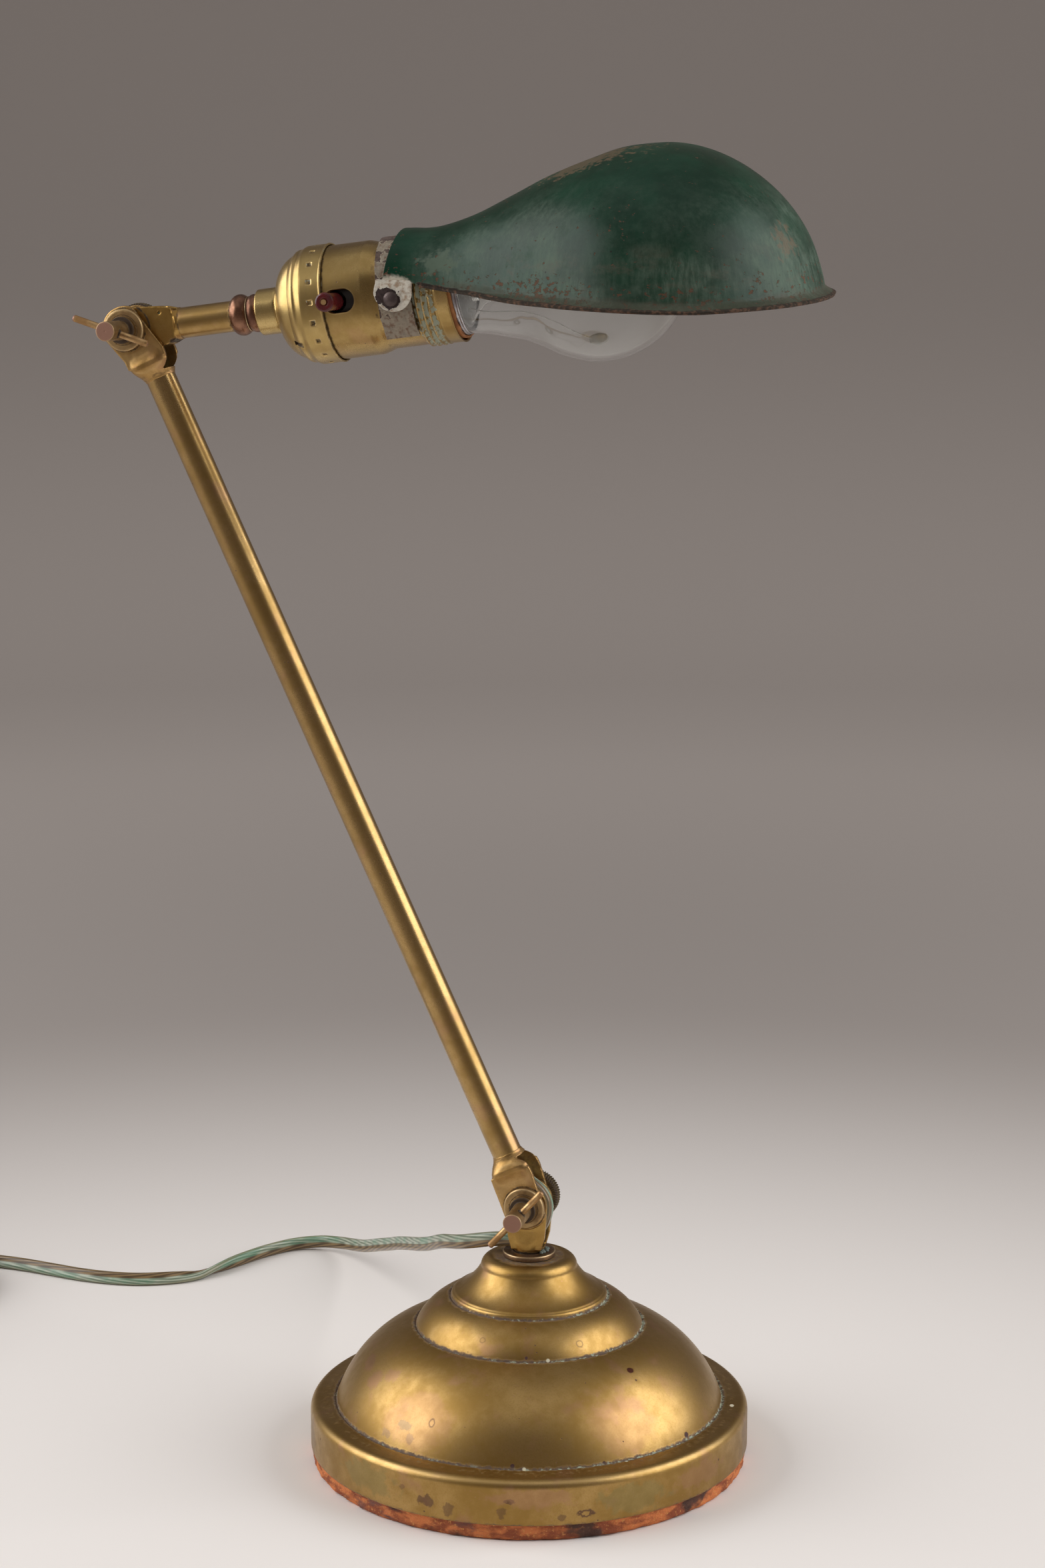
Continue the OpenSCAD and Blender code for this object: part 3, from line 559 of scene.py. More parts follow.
def iron_rust():
    """Flaking rust: orange, brick and near black, with a deep grain."""
    look = Look("iron_rust")
    colour = look.patchy((0.28, 0.080, 0.038), (0.62, 0.20, 0.070), 0.40, 0.62, 3.4, 5, (2.2, 2.2, 1), 1)
    colour = look.patchy(colour, (0.66, 0.30, 0.10), 0.55, 0.72, 1.0, 4, shift=2)
    colour = look.patchy(colour, (0.20, 0.085, 0.065), 0.55, 0.66, 6, 4, (2.5, 2.5, 1), 4)
    colour = look.patchy(colour, (0.045, 0.036, 0.034), 0.57, 0.66, 13, 3, (1.6, 1.6, 1), 3, share=0.85)
    look.set(base_color=colour, roughness=0.88, metallic=0.0, specular_ior_level=0.25)
    look.relief(look.noise(0.7, 6, shift=5), 0.35)
    look.relief(look.noise(3.0, 4, (2, 2, 1), 6), 0.7)
    return look.material


def plain_metal(name, light, deep, rough_low, rough_high, grain=0.012, metallic=1.0, specks=0.3, dirt=DIRT_AND_SHADE_BROWN):
    """A duller metal with soft patches, specks, and a dark colour for dirt and painted shade where the mesh's value
    for them says so.
    """
    look = Look(name)
    tone = look.between(look.noise(5, 5, shift=1), 0.38, 0.66)
    colour = look.mix(tone, light, deep)
    colour = look.patchy(colour, deep, 0.5, 0.75, 0.7, 3, shift=2, share=0.35)
    dark = look.dots(2.8, 0.3, specks, shift=3)
    # Where the mesh says so: dirt in some places, painted shade in others, with a ragged border
    broken = look.ragged("grime_and_shade", 0.4, 0.3, 0.8, 1.2, 4, shift=4)
    colour = look.mix(look.over(look.times(dark, 0.7), broken), colour, dirt)
    face = look.paint("face")
    colour = look.mix(face, colour, (0.36, 0.205, 0.15))
    colour = look.mix(look.times(look.paint("wear"), 0.75), colour, (0.78, 0.60, 0.34))
    spread = look.spread(look.over(tone, broken, face), rough_low, rough_high)
    look.set(base_color=colour, metallic=look.times(look.spread(broken, 1.0, 0.25), metallic), roughness=spread)
    look.relief(look.noise(0.6, 4, shift=5), grain)
    look.relief(broken, 0.04)
    return look.material


def shade_of(colour, factor):
    """The colour made darker or paler."""
    return tuple(min(1, c * factor) for c in colour)


def painted(name, paint, dirt, rust, chips, smear=0.4, rough=0.55):
    """Thin old paint: rusty chips with pale edges, brown smears and fine pitting."""
    look = Look(name)
    colour = look.patchy(paint, shade_of(paint, 0.72), 0.35, 0.7, 2.2, 5, shift=1)
    colour = look.mix(look.times(look.between(look.noise(1.3, 5, (1, 3, 1), 2), 0.45, 0.70), smear), colour, dirt)
    chip = look.math("ADD", look.noise(6.5, 4, shift=3), look.times(look.paint("grime_and_shade"), 0.35))
    pale = look.times(look.between(chip, chips - 0.03, chips), 0.6)
    colour = look.mix(pale, colour, shade_of(paint, 1.35))
    bare = look.between(chip, chips, chips + 0.025)
    colour = look.mix(bare, colour, look.patchy(rust, shade_of(rust, 0.6), 0.4, 0.65, 1.0, 4, shift=4))
    look.set(base_color=colour, roughness=look.spread(bare, rough, 0.85), specular_ior_level=0.35)
    look.relief(bare, -0.12)
    look.relief(look.noise(0.5, 4, shift=5), 0.05)
    return look.material


def green_enamel():
    """Dark green stove enamel, worn hazy in vertical wipes, the haze also a painted sheen of the side lights, with
    rust freckles and a rusty edge.
    """
    look = Look("green_enamel")
    colour = look.patchy((0.0020, 0.024, 0.0115), (0.0036, 0.042, 0.021), 0.35, 0.7, 22, 4, shift=1)
    wipe = look.between(look.noise(1.6, 4, (1.0, 1.0, 26), 2, 0.7), 0.36, 0.66)
    cloudy = look.between(look.noise(21, 5, (1, 1, 0.8), 3, 0.6), 0.42, 0.66)
    # The paler haze is partly worn, wiped enamel and partly a painted sheen of the side lights
    haze = look.times(look.times(look.spread(cloudy, 0.25, 1.0), look.spread(wipe, 0.35, 1.0)), look.paint("haze"))
    colour = look.mix(look.times(haze, 0.8), colour, (0.125, 0.175, 0.132))
    brown = look.times(look.between(look.noise(9, 6, (1.8, 1.8, 1), 4, 0.7), 0.50, 0.72), look.paint("bloom"))
    colour = look.mix(look.times(brown, 0.75), colour, (0.105, 0.080, 0.058))
    dusty = look.mark((15, -21.5, 12.5), (7.5, 4, 4.2), ragged=1.0, grain=3)
    colour = look.mix(look.times(dusty, 0.6), colour, (0.14, 0.18, 0.135))
    rubbed = look.times(look.mark((64, -11, 42), (24, 10, 6), ragged=1.8, grain=2.5), 0.55)
    rubbed = look.over(rubbed, look.times(look.mark((131, -25, 21), (4.5, 8, 6), ragged=1.6, grain=3), 0.5))
    primer = look.mix(look.noise(1.2, 4, shift=14), (0.15, 0.070, 0.042), (0.20, 0.155, 0.095))
    colour = look.mix(rubbed, colour, primer)
    scuff = look.between(look.noise(6, 7, (1.5, 1.5, 1), 16, 0.8), 0.42, 0.66)
    scuff = look.times(scuff, look.spread(look.paint("haze"), 0.35, 1.0))
    colour = look.mix(look.times(scuff, 0.22), colour, (0.095, 0.135, 0.100))
    near_edge = look.paint("edge")
    freckle = look.noise(1.5, 5, (1.5, 1.5, 1), 5, 0.65)
    lumps = look.noise(14, 3, shift=6)
    amount = look.math("ADD", look.times(near_edge, 0.09), look.spread(lumps, -0.10, 0.10))
    cluster = look.times(look.mark((56, -43, 5), (20, 14, 6), ragged=1.2, grain=5), 0.055)
    amount = look.math("ADD", look.math("ADD", freckle, cluster), amount)
    rust = look.between(amount, 0.665, 0.70)
    rust_colour = look.mix(look.noise(0.8, 3, shift=7), (0.19, 0.085, 0.046), (0.060, 0.034, 0.024))
    colour = look.mix(look.times(rust, 0.85), colour, rust_colour)
    colour = look.mix(look.dots(7.5, 0.38, 0.25, shift=8), colour, (0.012, 0.010, 0.008))
    colour = look.mix(look.dots(21, 0.34, 0.14, shift=9), colour, (0.55, 0.55, 0.50))
    for side in (-1, 1):
        bare = look.mark((0.6, side * 20.6, 2.6), (7.4, 4, 5.0), ragged=0.16, grain=0.9)
        cream = look.mix(look.noise(1.4, 4, shift=13), (0.78, 0.74, 0.64), (0.52, 0.45, 0.34))
        colour = look.mix(bare, colour, cream)
    lip = look.ragged("lip", 0.5, 0.45, 0.85, 2.6, 5, shift=10)
    lip_colour = look.patchy((0.035, 0.027, 0.020), (0.125, 0.070, 0.045), 0.45, 0.68, 1.6, 5, shift=11)
    soiled = look.times(look.ragged("soil", 0.45, 0.25, 0.85, 3.5, 5, (1.6, 1.6, 1), 15), 0.6)
    colour = look.mix(soiled, colour, (0.070, 0.062, 0.042))
    colour = look.mix(lip, colour, lip_colour)
    dull = look.over(look.times(haze, 0.75), rust, lip, soiled, rubbed, dusty, look.times(brown, 0.6),
                     look.times(scuff, 0.5))
    look.set(base_color=colour, roughness=look.spread(dull, 0.34, 0.80), specular_ior_level=0.20)
    look.relief(rust, -0.06)
    look.relief(look.noise(1.4, 3, shift=12), 0.012)
    look.relief(lip, 0.08)
    return look.material


def white_lining():
    """The shade's white inside, yellowed, with a few rust spots."""
    look = Look("white_lining")
    colour = look.patchy((0.72, 0.70, 0.64), (0.58, 0.54, 0.46), 0.35, 0.7, 18, 4, shift=1)
    spot = look.between(look.noise(2.4, 5, shift=2), 0.68, 0.71)
    colour = look.mix(spot, colour, (0.17, 0.07, 0.035))
    look.set(base_color=colour, roughness=look.spread(spot, 0.35, 0.8))
    look.relief(spot, -0.08)
    return look.material


def glass(name, tint, ior=1.47):
    """Clear glass with a faint waviness."""
    look = Look(name)
    look.set(base_color=tint, roughness=0.0, ior=ior, transmission_weight=1.0)
    look.relief(look.noise(14, 1, shift=1), 0.02)
    return look.material


def cord_plastic():
    """Clear insulation yellowed over two stranded wires, one tinned and greening, one copper, with a painted sheen
    along its outer edges.
    """
    look = Look("clear_cord_skin")
    across = look.paint("across")
    along = look.paint("along")
    around = look.paint("around")
    coordinates = look.add("ShaderNodeCombineXYZ", {0: look.times(along, 0.2), 1: look.times(around, 2.0), 2: across})
    grain = {"Vector": coordinates.outputs[0], "Scale": 1.0, "Detail": 3.0}
    lay = look.add("ShaderNodeTexNoise", grain).outputs["Fac"]
    slant = look.math("SINE", look.math("ADD", look.times(along, 0.5), look.times(around, 7.0)))
    strands = look.math("ADD", look.times(look.spread(slant, 0.4, 0.6), 0.7), look.times(lay, 0.3))
    first = look.mix(look.between(strands, 0.25, 0.60), (0.070, 0.042, 0.020), (0.24, 0.16, 0.075))
    greening = look.between(look.noise(16, 4, shift=3), 0.42, 0.60)
    second = look.mix(look.between(strands, 0.25, 0.60), (0.12, 0.16, 0.105), (0.42, 0.46, 0.36))
    second = look.mix(look.times(greening, 0.5), second, (0.055, 0.24, 0.135))
    colour = look.mix(look.between(across, -0.25, 0.25), first, second)
    web = look.math("SUBTRACT", 1.0, look.between(look.math("ABSOLUTE", across), 0.0, 0.22))
    colour = look.mix(look.times(web, 0.6), colour, (0.12, 0.10, 0.055))
    # A pale tint along the cord's two outer edges: a painted sheen of the clear insulation's edges
    rim = look.between(look.math("ABSOLUTE", across), 2.15, 2.55)
    colour = look.mix(look.times(rim, 0.6), colour, (0.24, 0.22, 0.12))
    look.set(base_color=colour, roughness=0.42, metallic=0.0, specular_ior_level=0.35)
    look.set(coat_weight=0.4, coat_roughness=0.1, coat_ior=1.5)
    look.relief(strands, 0.01)
    return look.material


def moulded(name, colour, other, roughness=0.35, grain=0.02, size=6):
    """A plastic or fibre part with cloudy colour and a faint grain."""
    look = Look(name)
    mask = look.between(look.noise(size, 4, shift=1), 0.35, 0.68)
    look.set(base_color=look.mix(mask, colour, other), roughness=look.spread(mask, roughness, roughness + 0.15))
    look.relief(look.noise(0.6, 4, shift=2), grain)
    return look.material


def paper_with_painted_light():
    """Paper that is pale in a painted pool of light near the lamp and greyer further out as painted shade, with a
    faint painted glow that grows further out and lower down.
    """
    look = Look("paper_with_painted_light")
    parts = look.add("ShaderNodeSeparateXYZ", {0: look.place}).outputs
    flat = look.add("ShaderNodeVectorMath", {0: look.place, 1: (1, 1, 0)}, operation="MULTIPLY").outputs[0]
    light_pool = look.add("ShaderNodeVectorMath", {0: flat, 1: (0, -110, 0)}, operation="DISTANCE").outputs["Value"]
    out = look.add("ShaderNodeVectorMath", {0: flat}, operation="LENGTH").outputs["Value"]
    # A painted pool of light centred a little in front of the lamp, falling off to painted shade
    colour = look.mix(look.between(light_pool, 150, 760), PAPER_IN_LIGHT_POOL, PAPER_IN_PAINTED_SHADE)
    # A painted glow on the cove and wall, in place of the light that reaches them
    painted_glow = look.times(look.between(out, 620, 1500), look.spread(look.between(parts[2], 420, 10), 0.42, 1.0))
    look.set(base_color=colour, roughness=0.85, specular_ior_level=0.2)
    look.set(emission_color=(0.104, 0.093, 0.086), emission_strength=painted_glow)
    return look.material


# The paper's colour in the painted pool of light and out in the painted shade
PAPER_IN_LIGHT_POOL = (0.88, 0.84, 0.81)
PAPER_IN_PAINTED_SHADE = (0.36, 0.325, 0.305)


# ---- base ----


def on_base(azimuth, radius, height):
    """A point on the base at an azimuth from -Y towards +X in degrees, in millimetres."""
    a = math.radians(azimuth)
    return (radius * math.sin(a), -radius * math.cos(a), height)


def blot(azimuth, radius, height, size, **how):
    """A stain on the base, as a mask for its material."""
    size = size if isinstance(size, tuple) else (size, size, size)
    return lambda look: look.mark(on_base(azimuth, radius, height), size, **how)


def base_brass():
    drum, dome = 76.2, 62
    stains = [
        (PURPLE_OXIDE, 0.65, blot(-13, drum, 11, (3.0, 3, 1.9), ragged=1.1, grain=2.2)),
        (PURPLE_OXIDE, 0.5, blot(-7, drum, 9.5, (2.0, 3, 2.2), ragged=1.1, grain=2.0)),
        (PURPLE_OXIDE, 0.45, blot(6.5, drum, 10, (1.5, 3, 2.0), ragged=1.0, grain=2.0)),
        (PURPLE_OXIDE, 0.7, blot(8.5, drum, 14, (2.0, 3, 0.9), ragged=0.9)),
        (PURPLE_OXIDE, 0.8, blot(27.5, drum, 9.2, (2.9, 3, 1.4), ragged=0.6, hollow=0.7)),
        (PURPLE_OXIDE, 0.5, blot(21.5, drum, 8.4, (1.3, 3, 1.2), ragged=0.9)),
        (PURPLE_OXIDE, 0.35, blot(-20, drum, 14, (1.0, 3, 1.0), ragged=0.9)),
        (PURPLE_OXIDE, 0.35, blot(94, drum, 12, (4, 12, 8), ragged=0.9, grain=3)),
        (PURPLE_OXIDE, 0.35, blot(-66, drum, 12, (5, 7, 7), ragged=0.9, grain=3)),
        (PINK_OXIDE, 0.45, blot(15, drum, 15, (16, 8, 3), ragged=1.0, grain=4)),
        (PINK_OXIDE, 0.4, blot(62, drum, 13, (10, 12, 4), ragged=1.0, grain=4)),
        ((0.24, 0.21, 0.085), 0.45, blot(-32, drum, 13, (14, 10, 5), ragged=1.0, grain=4)),
        ((0.24, 0.21, 0.085), 0.45, blot(40, drum, 12, (14, 12, 5), ragged=1.0, grain=4)),
        (PINK_OXIDE, 0.6, blot(-62, 56.5, 38, (3, 6, 2.4), ragged=0.7)),
        (PINK_OXIDE, 0.6, blot(-51, 58.4, 36, (4, 4, 3.2), ragged=0.8)),
        (PINK_OXIDE, 0.55, blot(-44, 55, 39.3, (4, 3, 2.2), ragged=0.8)),
        (PINK_OXIDE, 0.35, blot(-24, dome, 31, (15, 12, 9), ragged=0.5, grain=5)),
        (PINK_OXIDE, 0.30, blot(44, dome, 31, (13, 12, 9), ragged=0.5, grain=5)),
        ((0.20, 0.155, 0.10), 0.55, blot(-27.5, 63.5, 29, (2.9, 3, 1.4), ragged=0.8)),
        ((0.20, 0.13, 0.09), 0.5, blot(-33.5, 65.5, 25, (2.0, 2.2, 1.5), ragged=0.9)),
        ((0.20, 0.13, 0.09), 0.5, blot(-24, 65.4, 25.5, (1.6, 2.2, 1.8), ragged=0.9)),
        ((0.15, 0.085, 0.05), 0.8, blot(-18, 61.8, 31.6, (1.2, 1.6, 1.8), ragged=0.25, hollow=0.7)),
        ((0.16, 0.10, 0.05), 0.65, blot(41, 36.8, 51.7, 1.4, ragged=0.2, hollow=0.72)),
        ((0.16, 0.10, 0.05), 0.5, blot(-12.5, 35.7, 52.7, 1.2, ragged=0.3, hollow=0.7)),
        ((0.085, 0.020, 0.016), 0.95, blot(57, 49.3, 43.5, (1.4, 1.5, 1.0), ragged=0.3)),
    ]
    pits = [blot(8.7, 66.7, 22.3, 0.8), blot(35, 67.2, 21.7, 0.7), blot(12, 38.6, 48.8, 0.6),
            blot(66, 66.7, 22.5, 1.1)]
    pale = [blot(12, 67.4, 21.6, 0.75, ragged=0.1), blot(41.5, 68.1, 21.5, 0.6, ragged=0.1),
            blot(94.5, 71, 21, (0.8, 1.3, 0.6), ragged=0.1), blot(22.7, 39.4, 48.1, 0.7, ragged=0.2)]
    return brass("base_brass", gloss=0.33, pink=0.5, dirt=(0.15, 0.10, 0.07), stains=stains, pits=pits, bright=pale)


BASE_LOW, BASE_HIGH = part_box("base_shell")
BASE_R = BASE_HIGH[0] / MM
IRON_H = BASE_LOW[2] / MM
SHELL_TOP = BASE_HIGH[2] / MM
SHELL_T = 0.9
GROOVES = [(67.5, 21.1), (39.6, 47.4), (27.5, 57.6)]


def shell_outline():
    """The spun shell's outside, from the drum's lower edge up to the stem."""
    return [(BASE_R - 0.15, IRON_H), (BASE_R, IRON_H + 0.4), (BASE_R, 17.7),
            *arc((BASE_R, 17.9), (BASE_R - 3, 20.9), 0.85, 10),
            (68.4, 21.45), (67.7, 21.3), (67.4, 21.0), (67.15, 21.3),
            *arc((66.9, 21.9), (40.1, 47.7), 4.4, 60), (39.7, 47.55), (39.45, 47.35), (39.25, 47.8),
            *arc((38.9, 48.6), (28.2, 57.9), 1.3, 26), (27.7, 57.8), (27.35, 57.6), (27.15, 57.9),
            *arc((27, 58.3), (26.2, 59.5), 0.25, 6), *arc((26.0, 59.8), (16.9, 68.2), -1.0, 22),
            *arc((16.7, 68.6), (13.6, SHELL_TOP), 0.8, 12), (11, SHELL_TOP), (5.3, SHELL_TOP)]


def inset(points, t):
    """The open outline moved to the left of its direction by t."""
    p = np.asarray(points, float)
    d = unit(np.gradient(p, axis=0))
    return p + t * np.stack([-d[:, 1], d[:, 0]], 1)


def add_base():
    outside = resampled(shell_outline(), 0.7)
    inside = inset(shell_outline(), SHELL_T)[::-2]
    shell = turned_piece("spun_base_shell", [*outside, *inside], WORLD, sides=400, radius=0, sharp=50)
    dented(shell, 0.05, 34)
    p = points_of(shell)
    r = np.hypot(p[:, 0], p[:, 1])
    grime_and_shade, crust = np.zeros((2, len(p)))
    for groove in GROOVES:
        near = np.hypot(r - groove[0], p[:, 2] - groove[1])
        grime_and_shade = np.maximum(grime_and_shade, 0.8 * bell(near, 0, 1.4))
        crust = np.maximum(crust, bell(near, 0, 0.75) * (0.30 + 0.35 * np.clip(p[:, 0] / groove[0], -0.5, 1)))
    # Dirt and verdigris in the grooves; painted shade on the ledge at the dome's foot and round the collar's foot;
    # darker along the lower edge over the iron
    ledge = 0.34 * bell(r, 70.5, 3.2) * (p[:, 2] > 20.5)
    top = 0.62 * (1 - ease(11.0, 14.6, r)) * (p[:, 2] > SHELL_TOP - 2)
    paint(shell, "grime_and_shade", grime_and_shade, ledge, 0.45 * (1 - ease(5.8, 6.9, p[:, 2])), top)
    paint(shell, "crust", crust)
    paint(shell, "wear", 0.5 * bell(np.hypot(r - BASE_R + 0.8, p[:, 2] - 20.2), 0, 0.8))
    finish_piece(shell, "base", "aged_brass", base_brass(), "base_shell")

    band = BASE_R - 0.6
    weight_outline = [(0, 9), (0, 0.02), (band - 0.9, 0.02), (band - 0.1, 0.8), (band, 2.5), (band, IRON_H),
                      (BASE_R - 1, IRON_H), (BASE_R - 1, 16.5), (70, 18.5), (44, 18.5), (40, 9)]
    weight = turned_piece("iron_weight", weight_outline, WORLD, sides=360, radius=0, step=1.2, sharp=60)
    p = points_of(weight)
    r = np.hypot(p[:, 0], p[:, 1])
    outer = ease(band - 1.5, band - 0.2, r) * (1 - ease(IRON_H - 0.4, IRON_H, p[:, 2]))
    lumps = rough(p * (1, 1, 2), 4.0, 4)
    out = p[:, :2] / np.maximum(r, 1)[:, None]
    p[:, :2] += out * (outer * (0.55 * lumps - 0.25))[:, None]
    p[:, 2] += (1 - ease(0.2, 1.2, p[:, 2])) * ease(band - 2, band, r) * (0.35 + 0.35 * rough(p, 6.0, 3, 2))
    set_points(weight, p)
    finish_piece(weight, "base", "rusty_iron", iron_rust(), "base_weight")

    top = SHELL_TOP + 1.9
    collar_outline = [(5.3, SHELL_TOP + 0.02), (9.1, SHELL_TOP + 0.02), (9.1, top), (5.3, top)]
    collar = turned_piece("collar_washer", collar_outline, WORLD, radius=0.5, step=0.3, sides=160)
    dented(collar, 0.04, 3)
    p = points_of(collar)
    r = np.hypot(p[:, 0], p[:, 1])
    # Painted shade round the stem and at the foot where the collar sits on the shell
    paint(collar, "grime_and_shade", 0.75 * (1 - ease(5.6, 7.4, r)), bell(p[:, 2], SHELL_TOP, 0.35))
    paint(collar, "wear", 0.6 * bell(np.hypot(r - 8.95, p[:, 2] - top + 0.15), 0, 0.28))
    worn = plain_metal("collar_metal", (0.30, 0.20, 0.12), (0.17, 0.105, 0.07), 0.36, 0.55)
    finish_piece(collar, "base", "copper_ring", worn, "base_collar")


# ---- stem and arm ----

TUBE_R = 5.15
PIVOT_Z = lower_pivot.z / MM
OUTER_GAP = 5.0
OUTER_CHEEK = 6.6
INNER_GAP = 3.2
INNER_CHEEK = 4.8
CHEEK_R = 7.3
TUBE_GAP = 17.5
HOLE_R = 2.6


def rod_y(name, radius, y0, y1, place, centre=(0, 0)):
    """A round bar along Y, as a tool for cutting or adding."""
    return prism(name, circle(radius, 48, centre), y0, y1, place)


def cheek(outline, inner, outer, name, place):
    """The near and the far cheek of a fork, as two plates with the same outline."""
    return [prism(name, outline, -outer, -inner, place), prism(name, outline, inner, outer, place)]


def add_stem():
    place = turned(lower_pivot, 0)
    low = 75 - PIVOT_Z
    neck = [(5.0, 5.0, 2, 60 - PIVOT_Z), (5.0, 5.0, 2, low - 1.6), (5.15, 5.15, 2, low - 1.3), (5.5, 5.3, 2.3, low),
            (6.0, 5.25, 3, low + 2), (6.5, 5.0, 4.5, low + 4.5), (6.9, 4.8, 6, low + 7)]
    fork = loft("stem_yoke", [squircle(a, b, k, z, 0) for a, b, k, z in neck], place)
    side = [(-5.2, low), (5.2, low), (6.5, low + 4.5), (7.3, -2.5), (7.3, 0)]
    outline = [*side, *spoke(CHEEK_R, 0, 180, 40)[1:-1], (-7.3, 0), (-7.3, -2.5), (-6.5, low + 4.5)]
    combined(fork, cheek(outline, INNER_GAP - 0.01, INNER_CHEEK, "plate", place), "UNION")
    gap = rounded(rectangle(-INNER_GAP, INNER_GAP, low + 0.4, 20), 1.4, closed=True)
    slot = prism("slot", gap, -14, 14, place, "x")
    combined(fork, [slot, rod_y("hole", HOLE_R, -9, 9, place)], "DIFFERENCE")
    softened(fork, 0.26, 4)
    p = points_of(fork)
    reach = np.hypot(p[:, 0], p[:, 2])
    # Painted shade in the slot between the cheeks, at the neck's small step and round the washer's rim
    inner = (np.abs(p[:, 1]) < INNER_GAP + 0.2) * 0.4
    foot = bell(p[:, 2], low - 1.2, 0.8)
    paint(fork, "grime_and_shade", inner, foot, 0.5 * bell(reach, 7.1, 0.5))
    paint(fork, "wear", 0.35 * bell(np.abs(p[:, 1]), INNER_CHEEK, 0.25) * bell(reach, 7.2, 0.4))
    yellow = brass("yoke_brass", (0.46, 0.29, 0.085), (0.32, 0.18, 0.045), 0.28, pink=0.3)
    finish_piece(fork, "stem", "fork_brass", yellow, "stem_fork")

    # Crumbs of old putty and verdigris at the stem's right foot
    for i, (x, y, size) in enumerate([(5.6, -2.2, 0.9), (6.4, -0.6, 0.8), (5.9, 1.2, 0.9), (5.2, -3.6, 0.6)]):
        crumb = build(f"crumb_{i}", *revolve([(0, -1), (0.7, -0.7), (1, 0), (0.7, 0.7), (0, 1)], 20))
        set_points(crumb, points_of(crumb) * size * (1.1, 1, 0.8))
        dented(crumb, 0.3 * size, 0.6, 3, i)
        crumb.matrix_world = Matrix.Translation(Vector((x, y, SHELL_TOP + 2.2)) * MM)
        finish_piece(crumb, "stem", "solder", CRUMBS)


def squircle(half_x, half_y, power, z, centre, n=72):
    """A section from round (power 2) to nearly square, level at z."""
    t = np.arange(n) * TAU / n
    c, s = np.cos(t), np.sin(t)
    x = np.sign(c) * np.abs(c) ** (2 / power) * half_x
    y = np.sign(s) * np.abs(s) ** (2 / power) * half_y
    return np.stack([centre + x, y, np.full(n, z)], 1)


def add_outer_fork(name, place, offset, node, material, seed):
    """A tube end pressed into a square shoulder with two round cheeks, open on the cord's side."""
    shoulder = [(7.6, 6.6, 7, 8.5), (7.55, 6.65, 7, 9.8), (7.5, 6.95, 6, 11.4), (7.4, 7.35, 5, 12.9),
                (7.1, 7.3, 4.2, 14.3), (6.5, 6.6, 3.2, 15.8), (5.8, 5.85, 2.4, 17.2), (5.42, 5.42, 2, 18.4),
                (5.2, 5.2, 2, 19.3)]
    body = loft(name, [squircle(a, b, p, z, offset) for a, b, p, z in shoulder], place)
    spigot = prism("spigot", circle(4.1, 48, (offset, 0)), 15, 24.5, place, "z")
    outline = [(offset - 7.3, 13), (offset - 7.5, 9.5), *spoke(8.1, 180, 313.2, 40), (offset + 7.4, 10.5),
               (offset + 7.2, 13)]
    combined(body, [spigot, *cheek(outline, OUTER_GAP, OUTER_CHEEK, "plate", place)], "UNION")
    cavity = rounded(rectangle(offset - 5.8, offset + 24, -14, 13.6), 2.2, closed=True)
    inside = prism("cavity", cavity, -OUTER_GAP, OUTER_GAP, place)
    opening = rounded(rectangle(offset + 0.5, offset + 20, 0, 17.0), 2, closed=True)
    mouth = prism("mouth", opening, -OUTER_GAP, OUTER_GAP, place)
    bore = prism("bore", circle(3.1, 48, (offset, 0)), 0, 40, place, "z")
    combined(body, [inside, mouth, bore, rod_y("hole", HOLE_R, -9, 9, place)], "DIFFERENCE")
    softened(body, 0.28, 5)
    dented(body, 0.07, 3.5, 2, seed)
    p = points_of(body)
    reach = np.hypot(p[:, 0], p[:, 2])
    # Painted shade in the cavity and mouth, a painted shadow where the shoulder meets the tube, and painted shade
    # round the washer's rim on the cheeks
    inner = 0.42 * (np.abs(p[:, 1]) < OUTER_GAP + 0.25) * ((p[:, 0] > offset - 5.9) | (reach < 8)) * (p[:, 2] < 17.3)
    join_shadow = 0.45 * bell(p[:, 2], 18.2 + 0.8 * rough(p, 4, 2, seed), 0.55)
    ring = 0.6 * bell(reach, 7.35, 0.45) * (np.abs(p[:, 1]) > OUTER_GAP)
    paint(body, "grime_and_shade", inner, join_shadow, ring)
    paint(body, "wear", 0.3 * bell(np.abs(p[:, 1]), OUTER_CHEEK, 0.3) * ease(8.0, 8.6, reach))
    finish_piece(body, "arm", "fork_brass", material, node)


def add_arm():
    fork_look = brass("fork_brass", (0.50, 0.31, 0.12), (0.33, 0.19, 0.055), 0.34, pink=0.65, specks=0.3, green=0.8)
    add_outer_fork("lower_outer_fork", ARM, 0, "arm_lower_fork", fork_look, 1)
    add_outer_fork("upper_outer_fork", UPPER_END, ARM_OFFSET, "arm_upper_fork", fork_look, 2)
    wall = [(TUBE_R, TUBE_GAP), (TUBE_R, REACH - TUBE_GAP), (TUBE_R - 1, REACH - TUBE_GAP), (TUBE_R - 1, TUBE_GAP)]
    tube = turned_piece("arm_tube_drawn", wall, ARM, radius=0.2, step=2.5, sides=96)
    dented(tube, 0.03, 22)
    p = points_of(tube)
    paint(tube, "grime_and_shade", 0.6 * np.maximum(bell(p[:, 2], TUBE_GAP, 1.6), bell(p[:, 2], REACH - TUBE_GAP, 1.6)))
    finish_piece(tube, "arm", "tube_brass", TUBE_BRASS, "arm_tube")


# ---- clamp screws ----

POST_END = 25.0
ROD_Y = POST_END - 5.5
ROD_HALF = 13.7
NUT_R = 8.8


